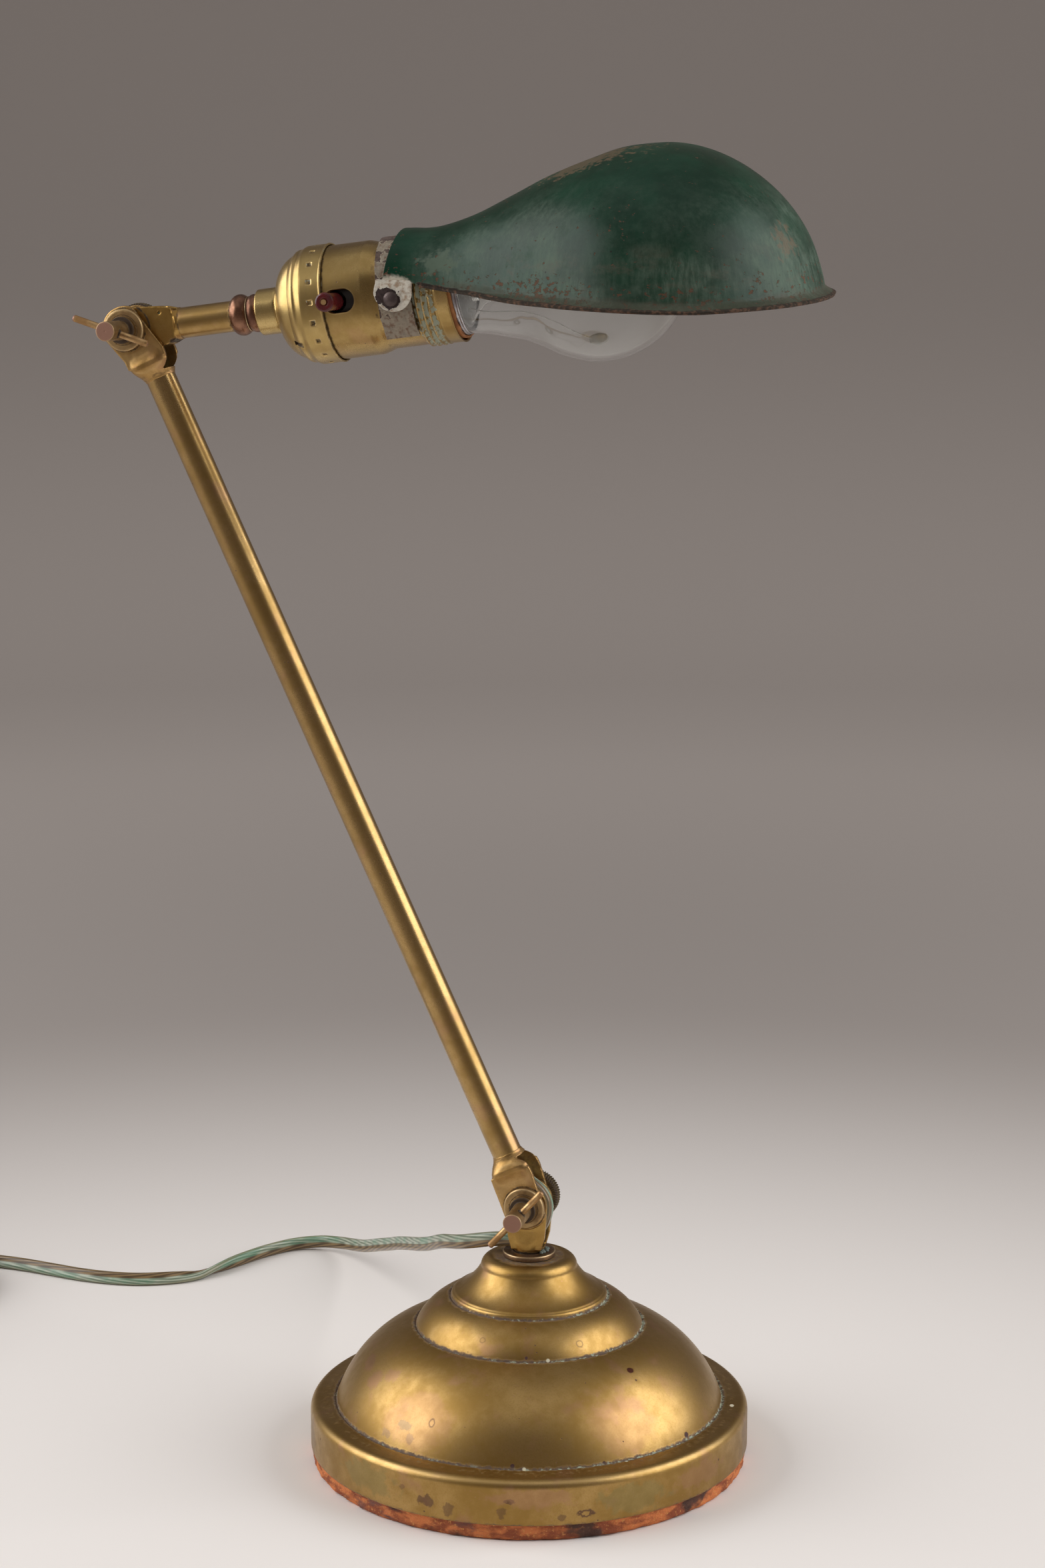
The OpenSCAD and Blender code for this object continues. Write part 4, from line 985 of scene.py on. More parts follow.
def add_screw(side, place, washer_place, washer_body):
    outline = [(0, -POST_END), (3.25, -POST_END), (3.25, -10.6), (4.5, -10.6), (4.5, -8.65), (2.45, -8.65),
               (2.45, 11.6), (0, 11.6)]
    post = turned_piece(f"{side}_post", outline, place, "y", 96, radius=0.28, step=0.35)
    rod_hole = prism("hole", circle(1.16, 24, (-ROD_Y, 0)), -9, 9, place, "x")
    combined(post, [rod_hole], "DIFFERENCE")
    smooth_shading(post, 40)
    p = points_of(post)
    reach = np.hypot(p[:, 1] + ROD_Y, p[:, 2])
    paint(post, "face", (p[:, 1] < -POST_END + 0.12) * 1.0)
    # Painted shade round the cross rod's hole and at the shoulder where the post meets its washer
    grime_and_shade = np.maximum(0.9 * bell(reach, 1.2, 0.7), 0.9 * bell(p[:, 1], -10.6, 1.2))
    paint(post, "grime_and_shade", grime_and_shade * (p[:, 1] > -POST_END + 1))
    paint(post, "wear", 0.6 * bell(np.hypot(np.hypot(p[:, 0], p[:, 2]) - 3.2, p[:, 1] + POST_END - 0.1), 0, 0.22))
    finish_piece(post, f"{side}_screw", "screw_brass", POST_BRASS, f"{side}_screw_post")

    half = ROD_HALF
    ends = [(0, 0.5 - half), (0.5, 0.28 - half), (0.62, 0.05 - half), (0.95, -half), (1.15, 0.35 - half),
            (1.15, half - 0.8), (0.95, half - 0.25), (0.5, half), (0, half)]
    rod = build(f"{side}_rod", *revolve(resampled(ends, 0.4), 40, "x"), place)
    p = points_of(rod)
    p[:, 1] -= ROD_Y
    set_points(rod, p)
    dented(rod, 0.025, 1.2, 2, 3)
    paint(rod, "face", (p[:, 0] < -half + 0.6) * 1.0 + (p[:, 0] > half - 0.2) * 0.4)
    # Painted shade where the rod enters the post
    paint(rod, "grime_and_shade", 0.9 * bell(np.abs(p[:, 0]), 3.3, 0.7))
    finish_piece(rod, f"{side}_screw", "screw_brass", ROD_BRASS, f"{side}_cross_rod")

    rings = [(2.55, -8.5), (4.9, -8.5), (5.0, -8.36), (5.15, -8.5), (6.3, -8.5), (6.75, -8.4), (7.1, -8.0),
             (7.1, -6.7), (2.55, -6.7)]
    washer = turned_piece(f"{side}_big_washer", rings, washer_place, "y", 128, radius=0.1, step=0.3)
    dented(washer, 0.05, 4, 2, 4)
    p = points_of(washer)
    r = np.hypot(p[:, 0], p[:, 2])
    # Darker at the raised ring, and painted shade under the post's shoulder
    paint(washer, "grime_and_shade", 0.6 * bell(r, 5.0, 0.25), 0.45 * bell(r, 3.6, 1.0))
    paint(washer, "wear", 0.4 * bell(r, 6.9, 0.25) * (p[:, 1] < -7.9))
    finish_piece(washer, washer_body, "screw_brass", WASHER_BRASS, f"{side}_washer")

    t = np.arange(480) * TAU / 480
    tooth = 0.5 - 0.5 * np.cos(60 * t)
    rows = []
    for r, y in [(2.5, 6.7), (NUT_R - 1.0, 6.7), (NUT_R - 0.3, 7.0), (NUT_R, 7.5), (NUT_R, 10.2), (NUT_R - 0.3, 10.8),
                 (NUT_R - 1.0, 11.1), (2.5, 11.1)]:
        radius = r - 0.45 * tooth * ease(NUT_R - 0.9, NUT_R - 0.2, r)
        rows.append(np.stack([radius * np.cos(t), np.full(480, y), radius * np.sin(t)], 1))
    nut = build(f"{side}_nut", np.vstack([*rows, rows[0]]), grid_faces(9, 480, wrap=True), washer_place, 40)
    p = points_of(nut)
    r = np.hypot(p[:, 0], p[:, 2])
    paint(nut, "grime_and_shade", 0.8 * (r > NUT_R - 1) * (r < NUT_R - 0.25), 0.4)
    finish_piece(nut, washer_body, "dark_brass", NUT_BRASS, f"{side}_knurled_nut")


# ---- head ----

CAP_U = 46.5
SHELL_R = 18.8
NECK_R = 17.5
MOUTH_U = 116.0
SWITCH_U = 78.0
KNOB_OUT = 30.0


def around_head(p):
    """Radius and angle about the head's axis; the angle is 0 on the near side and 90 on top, in degrees."""
    return np.hypot(p[:, 1], p[:, 2]), np.degrees(np.arctan2(p[:, 2], -p[:, 1]))


def add_head_fork():
    outline = [*spoke(CHEEK_R, 90, 270, 60), (10.5, -7.1), (13.5, -6.6), (16.5, -5.3), (16.5, 5.3), (13.2, 6.3),
               (10.5, 6.7)]
    barrel = [(0, 10), (5.5, 10), (5.75, 13), (5.55, 17), (5.25, 18.6), (4.1, 18.7), (4.1, 26), (0, 26)]
    fork = turned_piece("head_fork_barrel", barrel, HEAD, "x", 96, radius=0)
    flats = cheek(rectangle(8, 17.2, -12, 12), INNER_CHEEK + 0.02, 9, "flat", HEAD)
    combined(fork, flats, "DIFFERENCE")
    combined(fork, cheek(outline, 0.05, INNER_CHEEK, "plate", HEAD), "UNION")
    slot = prism("slot", rounded(rectangle(-12, 12.6, -12, 12), 1.5, closed=True), -INNER_GAP, INNER_GAP, HEAD)
    cord_slot = prism("cord_slot", rectangle(9, 17.6, 0, 12), -2.9, 2.9, HEAD)
    bore = prism("bore", circle(3.1, 48), 8, 40, HEAD, "x")
    pinhole = rod_y("pinhole", 0.55, -9, 0, HEAD, (12.2, 4.3))
    combined(fork, [slot, cord_slot, bore, pinhole, rod_y("hole", HOLE_R, -9, 9, HEAD)], "DIFFERENCE")
    softened(fork, 0.26, 4)
    dented(fork, 0.05, 3.5, 2, 5)
    p = points_of(fork)
    reach = np.hypot(p[:, 0], p[:, 2])
    # Painted shade in the slot between the cheeks, in the dark gap under the fork where it meets the tube, a painted
    # shadow at the join with the tube, painted shade just outside the arm's cheeks and round the pin hole
    inner = 0.45 * (np.abs(p[:, 1]) < INNER_GAP + 0.2) * (p[:, 0] < 13)
    under = 0.95 * bell(np.hypot(p[:, 0] - 16, p[:, 2] + 6.2), 0, 2.0)
    join_shadow = 0.5 * bell(p[:, 0], 18.4, 0.5)
    edge = 0.75 * bell(reach, 8.4, 0.5) * (np.abs(p[:, 1]) > INNER_GAP)
    hole = bell(np.hypot(p[:, 0] - 12.2, p[:, 2] - 4.3), 0, 0.6) * (p[:, 1] < 0)
    paint(fork, "grime_and_shade", inner, under, join_shadow, edge, hole)
    yellow = brass("head_fork_brass", (0.48, 0.305, 0.095), (0.33, 0.19, 0.048), 0.28, pink=0.45, green=0.7)
    finish_piece(fork, "head", "fork_brass", yellow, "head_fork")


def add_coupling():
    beads = [(5.2, 37.2), *arc((5.5, 37.1), (5.8, 42.4), 1.25, 20), (5.55, 42.6), (5.9, 42.75), (5.9, 43.0),
             (5.55, 43.15), *arc((5.8, 43.3), (5.9, 46.4), 0.55, 12), (5.2, 46.45)]
    ring = turned_piece("coupling_beads", beads, HEAD, "x", radius=0, step=0.25, sharp=40)
    dented(ring, 0.03, 2.5)
    p = points_of(ring)
    r, _ = around_head(p)
    paint(ring, "wear", bell(np.hypot(p[:, 0] - 42.87, r - 5.9), 0, 0.22))
    paint(ring, "grime_and_shade", 0.7 * np.maximum(bell(p[:, 0], 42.55, 0.12), bell(p[:, 0], 43.2, 0.12)) * (r > 5.5))
    finish_piece(ring, "head", "copper_ring", COPPER, "coupling_ring")


def add_socket_cap():
    lines = [(5.25, CAP_U), (7.2, CAP_U), (7.65, CAP_U + 0.4), (7.7, 53.2), (7.55, 53.7), (8.1, 54.2),
             (8.3, 54.7), (8.8, 54.85), *arc((9.2, 55.0), (17.3, 61.6), 1.45, 40), (17.75, 62.0), (18.5, 62.9),
             (18.75, 63.6), (18.7, 64.3), (18.85, 64.9), (19.3, 65.8), (19.55, 66.4), (19.6, 67.0), (19.6, 73.2),
             (19.75, 73.6), (19.55, 74.0), (19.2, 74.0), (18.95, 73.6), (18.9, 66.8), (18.1, 64.6),
             *arc((16.6, 62.4), (8.6, 55.9), -1.4, 12), (6.9, 55.5), (5.25, 55.5)]
    cap = turned_piece("socket_cap_spun", lines, HEAD, "x", 480, radius=0, step=0.26, sharp=50)
    p = points_of(cap)
    r, angle = around_head(p)
    # Eighteen square dimples crimp the band over the shell
    turn = (angle + 8) % 20 - 10
    across = np.abs(np.radians(turn) * 19.6)
    along = np.abs(p[:, 0] - 69.9)
    square = (1 - ease(0.62, 0.9, across)) * (1 - ease(0.62, 0.9, along)) * (r > 19.2)
    # A slotted hole near the dome's edge, only sunk a little and painted dark as its shade
    hole_angle = np.abs(np.radians(angle + 43) * 17.6)
    hole = (1 - ease(0.75, 1.05, hole_angle)) * (1 - ease(1.1, 1.6, np.abs(p[:, 0] - 62.4))) * (r > 16.8)
    sunk = 0.42 * square + 0.9 * hole
    out = p[:, 1:] / r[:, None]
    p[:, 1:] -= out * sunk[:, None]
    set_points(cap, p)
    low_rim = 0.6 * bell(p[:, 0], 73.9, 0.3) * (r > 18.9)
    # The sunk hole is painted dark as painted shade; the dimples and the lower rim darken too
    paint(cap, "grime_and_shade", 0.6 * (square > 0.4), 1.5 * (hole > 0.1), low_rim)
    paint(cap, "crust", 0.62 * (square > 0.1) * (square < 0.9) * (turn % 7 < 3.5))
    rim_wear = 0.5 * bell(r, 19.72, 0.06) * bell(p[:, 0], 73.6, 0.3)
    paint(cap, "wear", rim_wear, 0.35 * bell(p[:, 0], 63.6, 0.5), 0.9 * bell(np.maximum(across, along), 1.0, 0.12))
    finish_piece(cap, "head", "bright_brass", BRIGHT_BRASS, "socket_cap")


def thread(u, turn):
    """Height of the rolled thread at a station and a fraction of a turn."""
    phase = (u - 104.2) / 2.05 - turn
    ridge = 0.5 - 0.5 * np.cos(TAU * phase)
    return 0.95 * ridge**1.5 * ease(103.8, 105.0, u) * (1 - ease(110.4, 111.6, u))


def capsule_slot(name, half, y0, y1, rear, front):
    """A long hole for a switch knob, rounded at both ends."""
    right, left = spoke(half, -90, 90, 24, (front, 0)), spoke(half, 90, 270, 24, (rear, 0))
    return prism(name, [*right, *left], y0, y1, HEAD)


def add_socket_shell():
    outer = [(SHELL_R, 67), (SHELL_R, 87.4), (SHELL_R - 0.15, 88.2), (SHELL_R - 0.55, 89.6),
             (NECK_R + 0.25, 91.0), (NECK_R, 92), (NECK_R, 111.2), (17.9, 111.6), (18.0, 112.2),
             (18.0, MOUTH_U - 0.5), (18.25, MOUTH_U - 0.15), (18.2, MOUTH_U)]
    line = resampled(outer, 0.28)
    lining = (np.array(outer) - (0.5, 0))[::-1]
    shell = turned_piece("socket_shell_drawn", [*line, *lining], HEAD, "x", 360, radius=0, sharp=50)
    near, far = (capsule_slot("slot", 3.9, a, b, SWITCH_U, 81) for a, b in ((-24, -8), (8, 24)))
    combined(shell, [near, far], "DIFFERENCE")
    p = points_of(shell)
    r, angle = around_head(p)
    out = p[:, 1:] / r[:, None]
    raised = thread(p[:, 0], angle / 360) * (r > NECK_R - 0.2)
    p[:, 1:] += out * raised[:, None]
    set_points(shell, p)
    smooth_shading(shell, 35)
    dented(shell, 0.03, 9)
    in_thread = ease(103.4, 104.6, p[:, 0]) * (1 - ease(110.6, 111.8, p[:, 0]))
    slot_edge = np.hypot(np.clip(p[:, 0], SWITCH_U, 81) - p[:, 0], p[:, 2])
    by_slot = 0.5 * bell(slot_edge, 4.0, 0.25)
    paint(shell, "crust", in_thread * (0.38 + 0.32 * (1 - ease(0.3, 0.7, raised))))
    # Darker in the thread's hollows and at the neck's step; painted shade just under the cap's rim and on the shell's
    # inside
    paint(shell, "grime_and_shade", 0.42 * in_thread * (1 - ease(0.2, 0.6, raised)), 0.6 * bell(p[:, 0], 74.3, 0.5),
          0.75 * (r < 17.2), 0.35 * bell(p[:, 0], 91.5, 1.2))
    paint(shell, "wear", 0.8 * by_slot, 0.5 * in_thread * ease(0.6, 0.9, raised))
    finish_piece(shell, "head", "socket_brass", SHELL_BRASS, "socket_shell")

    wall = NECK_R - 0.6
    sleeve = [(wall, 70), (wall, 117.4), (wall - 0.65, 117.5), (wall - 0.65, 70)]
    liner = turned_piece("fibre_liner", sleeve, HEAD, "x", 220, radius=0, step=1.0, sharp=50)
    combined(liner, [capsule_slot("slot", 3.8, a, b, SWITCH_U, 81) for a, b in ((-24, -8), (8, 24))], "DIFFERENCE")
    p = points_of(liner)
    p[:, 0] += ease(113, 117.4, p[:, 0]) * (0.5 * rough(p * (0.2, 1, 1), 3.5, 3) - 0.5)
    set_points(liner, p)
    smooth_shading(liner, 35)
    paint(liner, "grime_and_shade", 0.6 * bell(p[:, 0], 117.2, 0.5))
    finish_piece(liner, "head", "fibre", LINER, "socket_liner")


def add_head():
    add_head_fork()
    wall = [(TUBE_R, 18), (TUBE_R, 56), (TUBE_R - 1, 56), (TUBE_R - 1, 18)]
    tube = turned_piece("head_tube_drawn", wall, HEAD, "x", 96, radius=0.15, step=1.5)
    dented(tube, 0.025, 12, 2, 6)
    p = points_of(tube)
    paint(tube, "grime_and_shade", 0.6 * np.maximum(bell(p[:, 0], 18.2, 0.8), bell(p[:, 0], 36.9, 0.6)))
    finish_piece(tube, "head", "tube_brass", TUBE_BRASS, "head_tube")
    add_coupling()
    add_socket_cap()
    add_socket_shell()


def add_knob(name, place, node, body):
    """A turned knob with a rounded cap, a sunk ring and a hole for the rod."""
    steps = [(0.95, 0.3), (1.25, 0.25), (1.5, 0), (2.5, 0), (3.0, 0.3), (3.15, 0.9), (3.15, 1.9), (2.85, 2.5),
             (2.85, 13), (0.95, 13)]
    outline = [(r, y - KNOB_OUT) for r, y in steps]
    knob = turned_piece(name, outline, place, "y", 72, radius=0.2, step=0.5)
    p = points_of(knob)
    p[:, 0] += SWITCH_U
    set_points(knob, p)
    finish_piece(knob, body, "red_knob", KNOB_RED, node)


def add_switch():
    add_knob("near_push_knob", HEAD, "near_knob", "switch")
    back = HEAD @ Matrix.Translation((0, -8 * MM, 0)) @ Matrix.Diagonal((1, -1, 1, 1))
    add_knob("far_push_knob", back, "far_knob", "switch")


# ---- clip and shade ----

EAR_IN = 19.6
SHEET_T = 0.9
DOME_W = 57.0
DOME_H = 48.3
CROWN_X = 87.0
NOSE = 50.0
RIM_W = 5.0
CLIP_R = 19.18
CLIP_REAR = 92.7
CLIP_FRONT = 103.9
CLIP_T = 0.82


def add_clip():
    """The sheet band that grips the socket; its two ends stop short below."""
    turns = np.radians(np.linspace(-44, 224, 240))
    stations = np.linspace(CLIP_REAR, CLIP_FRONT, 34)
    u, t = np.meshgrid(stations, turns, indexing="ij")
    verts = np.stack([u, -CLIP_R * np.cos(t), CLIP_R * np.sin(t)], -1).reshape(-1, 3)
    band = build("clip_band", verts, grid_faces(34, 240), CLIP)
    p = points_of(band)
    ragged = rough(p, 2.2, 3, 7)
    rear, front = 1 - ease(CLIP_REAR, 94.2, p[:, 0]), ease(102.6, CLIP_FRONT, p[:, 0])
    p[:, 0] += rear * 0.28 * ragged + front * 0.22 * ragged
    set_points(band, p)
    hole = [rod_y("hole", 1.6, a, b, CLIP, (RIVET_U, 0)) for a, b in ((-24, -15), (15, 24))]
    applied(band, ("SOLIDIFY", {"thickness": CLIP_T * MM, "offset": -1.0}))
    combined(band, hole, "DIFFERENCE")
    smooth_shading(band, 40)
    p = points_of(band)
    _, angle = around_head(p)
    edge = np.maximum(bell(p[:, 0], CLIP_REAR, 0.7), bell(p[:, 0], CLIP_FRONT, 0.7))
    high = ease(-5, 20, angle) * (1 - ease(160, 185, angle))
    paint(band, "grime_and_shade", 0.3 * edge, 0.30 * high)
    finish_piece(band, "clip", "painted_clip", CLIP_PAINT, "shade_clip")

    heads = []
    for side in (1, -1):
        y = EAR_IN + SHEET_T
        outline = [(0, 17.6), (2.3, 17.7), (2.3, 18.1), (1.5, 18.1), (1.5, y + 0.05), (2.45, y + 0.1),
                   (2.45, y + 0.35), (2.25, y + 0.8), (1.6, y + 1.2), (0.8, y + 1.42), (0, y + 1.48)]
        head = build("rivet", *revolve(resampled(outline, 0.25), 64, "y"), CLIP, 40)
        q = points_of(head)
        q[:, 1] *= -side
        q[:, 0] += RIVET_U
        set_points(head, q)
        dented(head, 0.03, 1.2, 2, side)
        heads.append(head)
    rivets = joined("clip_rivets", heads)
    outward(rivets)
    smooth_shading(rivets, 40)
    p = points_of(rivets)
    paint(rivets, "grime_and_shade", 0.5 * bell(np.hypot(p[:, 0] - RIVET_U, p[:, 2]), 2.4, 0.4))
    finish_piece(rivets, "clip", "dark_rivet", RIVET_IRON, "shade_rivets")


def outward(obj):
    """Turns every face outwards."""
    bm = bmesh.new()
    bm.from_mesh(obj.data)
    bmesh.ops.recalc_face_normals(bm, faces=bm.faces)
    bm.to_mesh(obj.data)
    bm.free()


SIDE = smooth_path([(-10, 20.5), (8, 20.5), (22, 24), (36, 31.5), (50, 41), (63, 49), (76, 55), (91, 57),
                    (105, 57)], 1.0)
CROWN = smooth_path([(-10, 21.3), (0, 21.3), (11, 21.6), (24, 25.7), (37, 31.8), (50, 38.4), (63, 43.6), (74, 47.1),
                     (CROWN_X, DOME_H), (101, DOME_H)], 1.0)
EDGE = np.array([(-10, 6.2), (8, 5), (22, 3), (36, 1.9), (75, 0.5), (105, -0.4), (150, 0)])


def half_width(x):
    if x <= CROWN_X + 4:
        return float(np.interp(x, SIDE[:, 0], SIDE[:, 1]))
    return DOME_W * math.sqrt(max(0.0, 1 - ((x - CROWN_X - 4) / (NOSE - 4)) ** 2))


def rim_height(x):
    return float(np.interp(x, EDGE[:, 0], EDGE[:, 1]) + 2.8 * ease(14, 60, x))


def lip_points(edge, out, x):
    """A short run from the sheet's lower edge outwards along its lip."""
    full = float(ease(18, 55, x))
    reach = 0.5 * float(ease(7, 16, x)) + (RIM_W - 1.8) * full
    drop = 2.7 * full
    return [edge + out * reach * s**1.5 + np.array([0, 0, -drop * s**0.85]) for s in np.linspace(0, 1, 11)[1:]]


def flared(middle, edge, out, x):
    """The wall's lowest few millimetres lean outwards into the lip."""
    lean = 1.0 * float(ease(18, 55, x)) * np.clip(1 - (middle[:, 2] - edge[2]) / 10, 0, 1) ** 2
    return middle + lean[:, None] * out


def shade_rows():
    """Rows of points from the near lip over the crown to the far lip, from the rear to the dome's crown."""
    rows = []
    arch = np.linspace(-math.pi / 2, math.pi / 2, 145)
    for x in np.linspace(-3.8, CROWN_X, 110):
        w, z0 = half_width(x), rim_height(x)
        high = float(np.interp(x, CROWN[:, 0], CROWN[:, 1])) - z0
        up = high * np.clip(np.cos(arch), 0, 1) ** 0.95
        slant = 3.7 / 21.3 * max(0, (8 - x) / 11.8)
        middle = np.stack([x + slant * (z0 + up), w * np.sign(arch) * np.abs(np.sin(arch)) ** 0.95, z0 + up], 1)
        slope = (half_width(x + 0.5) - half_width(x - 0.5))
        out = np.array([-slope, -1, 0]) / math.hypot(slope, 1)
        mirrored = out * (1, -1, 1)
        middle = np.vstack([flared(middle[:73], middle[0], out, x), flared(middle[73:], middle[-1], mirrored, x)])
        near = lip_points(middle[0], out, x)[::-1]
        far = lip_points(middle[-1], mirrored, x)
        rows.append(np.array([*near, *middle, *far]))
    return rows


def nose_rows():
    """Rows from the crown down to the lip, fanned round the front from the near to the far side."""
    xs = CROWN_X + NOSE * np.sin(np.linspace(0, math.pi / 2, 400))
    rim = np.array([(x - CROWN_X, half_width(x)) for x in xs])
    angle = np.arctan2(rim[:, 1], rim[:, 0])
    reach = np.hypot(rim[:, 0], rim[:, 1])
    order = np.argsort(angle)
    rows = []
    fans = np.linspace(-math.pi / 2, math.pi / 2, 121)
    fall = np.linspace(0, math.pi / 2, 73)
    edge = []
    for fan in fans:
        radius = float(np.interp(abs(fan), angle[order], reach[order]))
        edge.append(np.array([CROWN_X + radius * math.cos(fan), radius * math.sin(fan), 0.0]))
    for k, fan in enumerate(fans):
        rim_x = edge[k][0]
        z0 = rim_height(rim_x)
        radius = math.hypot(edge[k][0] - CROWN_X, edge[k][1])
        power = 0.95 + 0.16 * math.cos(fan) ** 2
        s = radius * np.sin(fall) ** power
        z = z0 + (DOME_H - z0) * np.clip(np.cos(fall), 0, 1) ** power
        middle = np.stack([CROWN_X + s * math.cos(fan), s * math.sin(fan), z], 1)
        d = edge[min(k + 1, 120)] - edge[max(k - 1, 0)]
        out = np.array([d[1], -d[0], 0]) / np.hypot(d[0], d[1])
        middle = flared(middle, middle[-1], out, rim_x)
        rows.append(np.array([*middle, *lip_points(middle[-1], out, rim_x)]))
    return rows


def add_shade():
    rear, front = shade_rows(), nose_rows()
    n, m = len(rear[0]), len(front[0])
    verts = np.vstack([*rear, *front])
    start = len(rear) * n
    faces = grid_faces(len(rear), n) + [tuple(start + i for i in f) for f in grid_faces(len(front), m)]
    shade = build("half_shade", verts, faces, SHADE, 60)
    applied(shade, ("WELD", {"merge_threshold": 0.05 * MM}))
    p = points_of(shade)
    top = p[:, 2].argmax()
    if normals_of(shade)[top][2] < 0:
        shade.data.flip_normals()
    dented(shade, 0.22, 26, 2, 8)
    for material in (green_enamel(), white_lining()):
        shade.data.materials.append(material)
    applied(shade, ("SOLIDIFY", {"thickness": SHEET_T * MM, "offset": -1.0, "material_offset": 1}))
    smooth_shading(shade, 60)
    p = points_of(shade)
    floor = np.interp(p[:, 0], EDGE[:, 0], EDGE[:, 1]) + 2.8 * ease(14, 60, p[:, 0])
    above = p[:, 2] - floor
    bottom = 0.35 - 2.9 * ease(18, 55, p[:, 0])
    paint(shade, "lip", (1 - ease(0, 0.9, above - bottom)) * ease(6, 10, p[:, 0]))
    paint(shade, "soil", 0.85 * (1 - ease(0.5, 5.5, above - bottom)) * ease(10, 24, p[:, 0]))
    paint(shade, "edge", 1 - ease(0, 13, above))
    # Haze low on the sides, partly wear and partly painted sheen of the side lights; kept off the dome's front so
    # that it stays dark there, as painted shade
    low = 1 - ease(0.42, 0.86, above / np.interp(p[:, 0], CROWN[:, 0], CROWN[:, 1]))
    middle = 0.8 * bell(p[:, 0], 92, 24) * ease(6, 20, above)
    paint(shade, "haze", low * ease(2, 14, p[:, 0]) * (1 - middle))
    paint(shade, "bloom", (1 - ease(5, 20, above)) * ease(10, 34, p[:, 0]))
    finish_piece(shade, "shade", "green_enamel", None, "shade")

    ears = []
    for side in (-1, 1):
        outline = [(-5.0, 6.3), (-5.6, 3.5), *spoke(6.4, 180, 360, 40, (0.6, 2.2)), (7.0, 5.4), (6.4, 5.9)]
        y0, y1 = sorted((side * (EAR_IN + 0.02), side * (EAR_IN + SHEET_T - 0.05)))
        ear = prism("ear", outline, y0, y1, SHADE)
        combined(ear, [rod_y("hole", 1.65, -24, 24, SHADE)], "DIFFERENCE")
        softened(ear, 0.2, 2)
        ears.append(ear)
    pair = joined("shade_ear_tabs", ears)
    p = points_of(pair)
    p[:, [0, 2]] += (0.16 * rough(p, 1.8, 3, 9))[:, None] * ease(4.5, 6, np.hypot(p[:, 0], p[:, 2] - 2))[:, None]
    set_points(pair, p)
    smooth_shading(pair, 40)
    patch = np.hypot((p[:, 0] + 1.2) / 5.2, (p[:, 2] - 0.4) / 4.0)
    paint(pair, "grime_and_shade", 1.4 * (1 - ease(0.65, 1.1, patch + 0.22 * rough(p, 1.6, 3, 10))))
    finish_piece(pair, "shade", "painted_clip", EAR_PAINT, "shade_ears")


# ---- bulb ----

GLOBE_R = 30.2
GLOBE_U = 163.0


def bulb_outline():
    neck = smooth_path([(15.6, 118.6), (16.0, 120.2), (16.9, 125), (18.3, 130), (20.2, 136.4), (23, 142),
                        (26.4, 148), (28.8, 154)], 1.0)
    return [*(tuple(q) for q in neck[:-2]), *spoke(GLOBE_R, -12, 90, 60, (0, GLOBE_U))]


def wire(name, points, radius, place, sides=10):
    """A round wire along a smooth curve through the points."""
    path = smooth_path(points, 0.5)
    tangent = unit(np.gradient(path, axis=0))
    side = unit(np.cross(tangent, (0.13, 0.21, 0.97)))
    up = np.cross(side, tangent)
    t = np.arange(sides) * TAU / sides
    rings = [q + radius * (np.cos(t)[:, None] * a + np.sin(t)[:, None] * b) for q, a, b in zip(path, side, up)]
    return loft(name, rings, place)


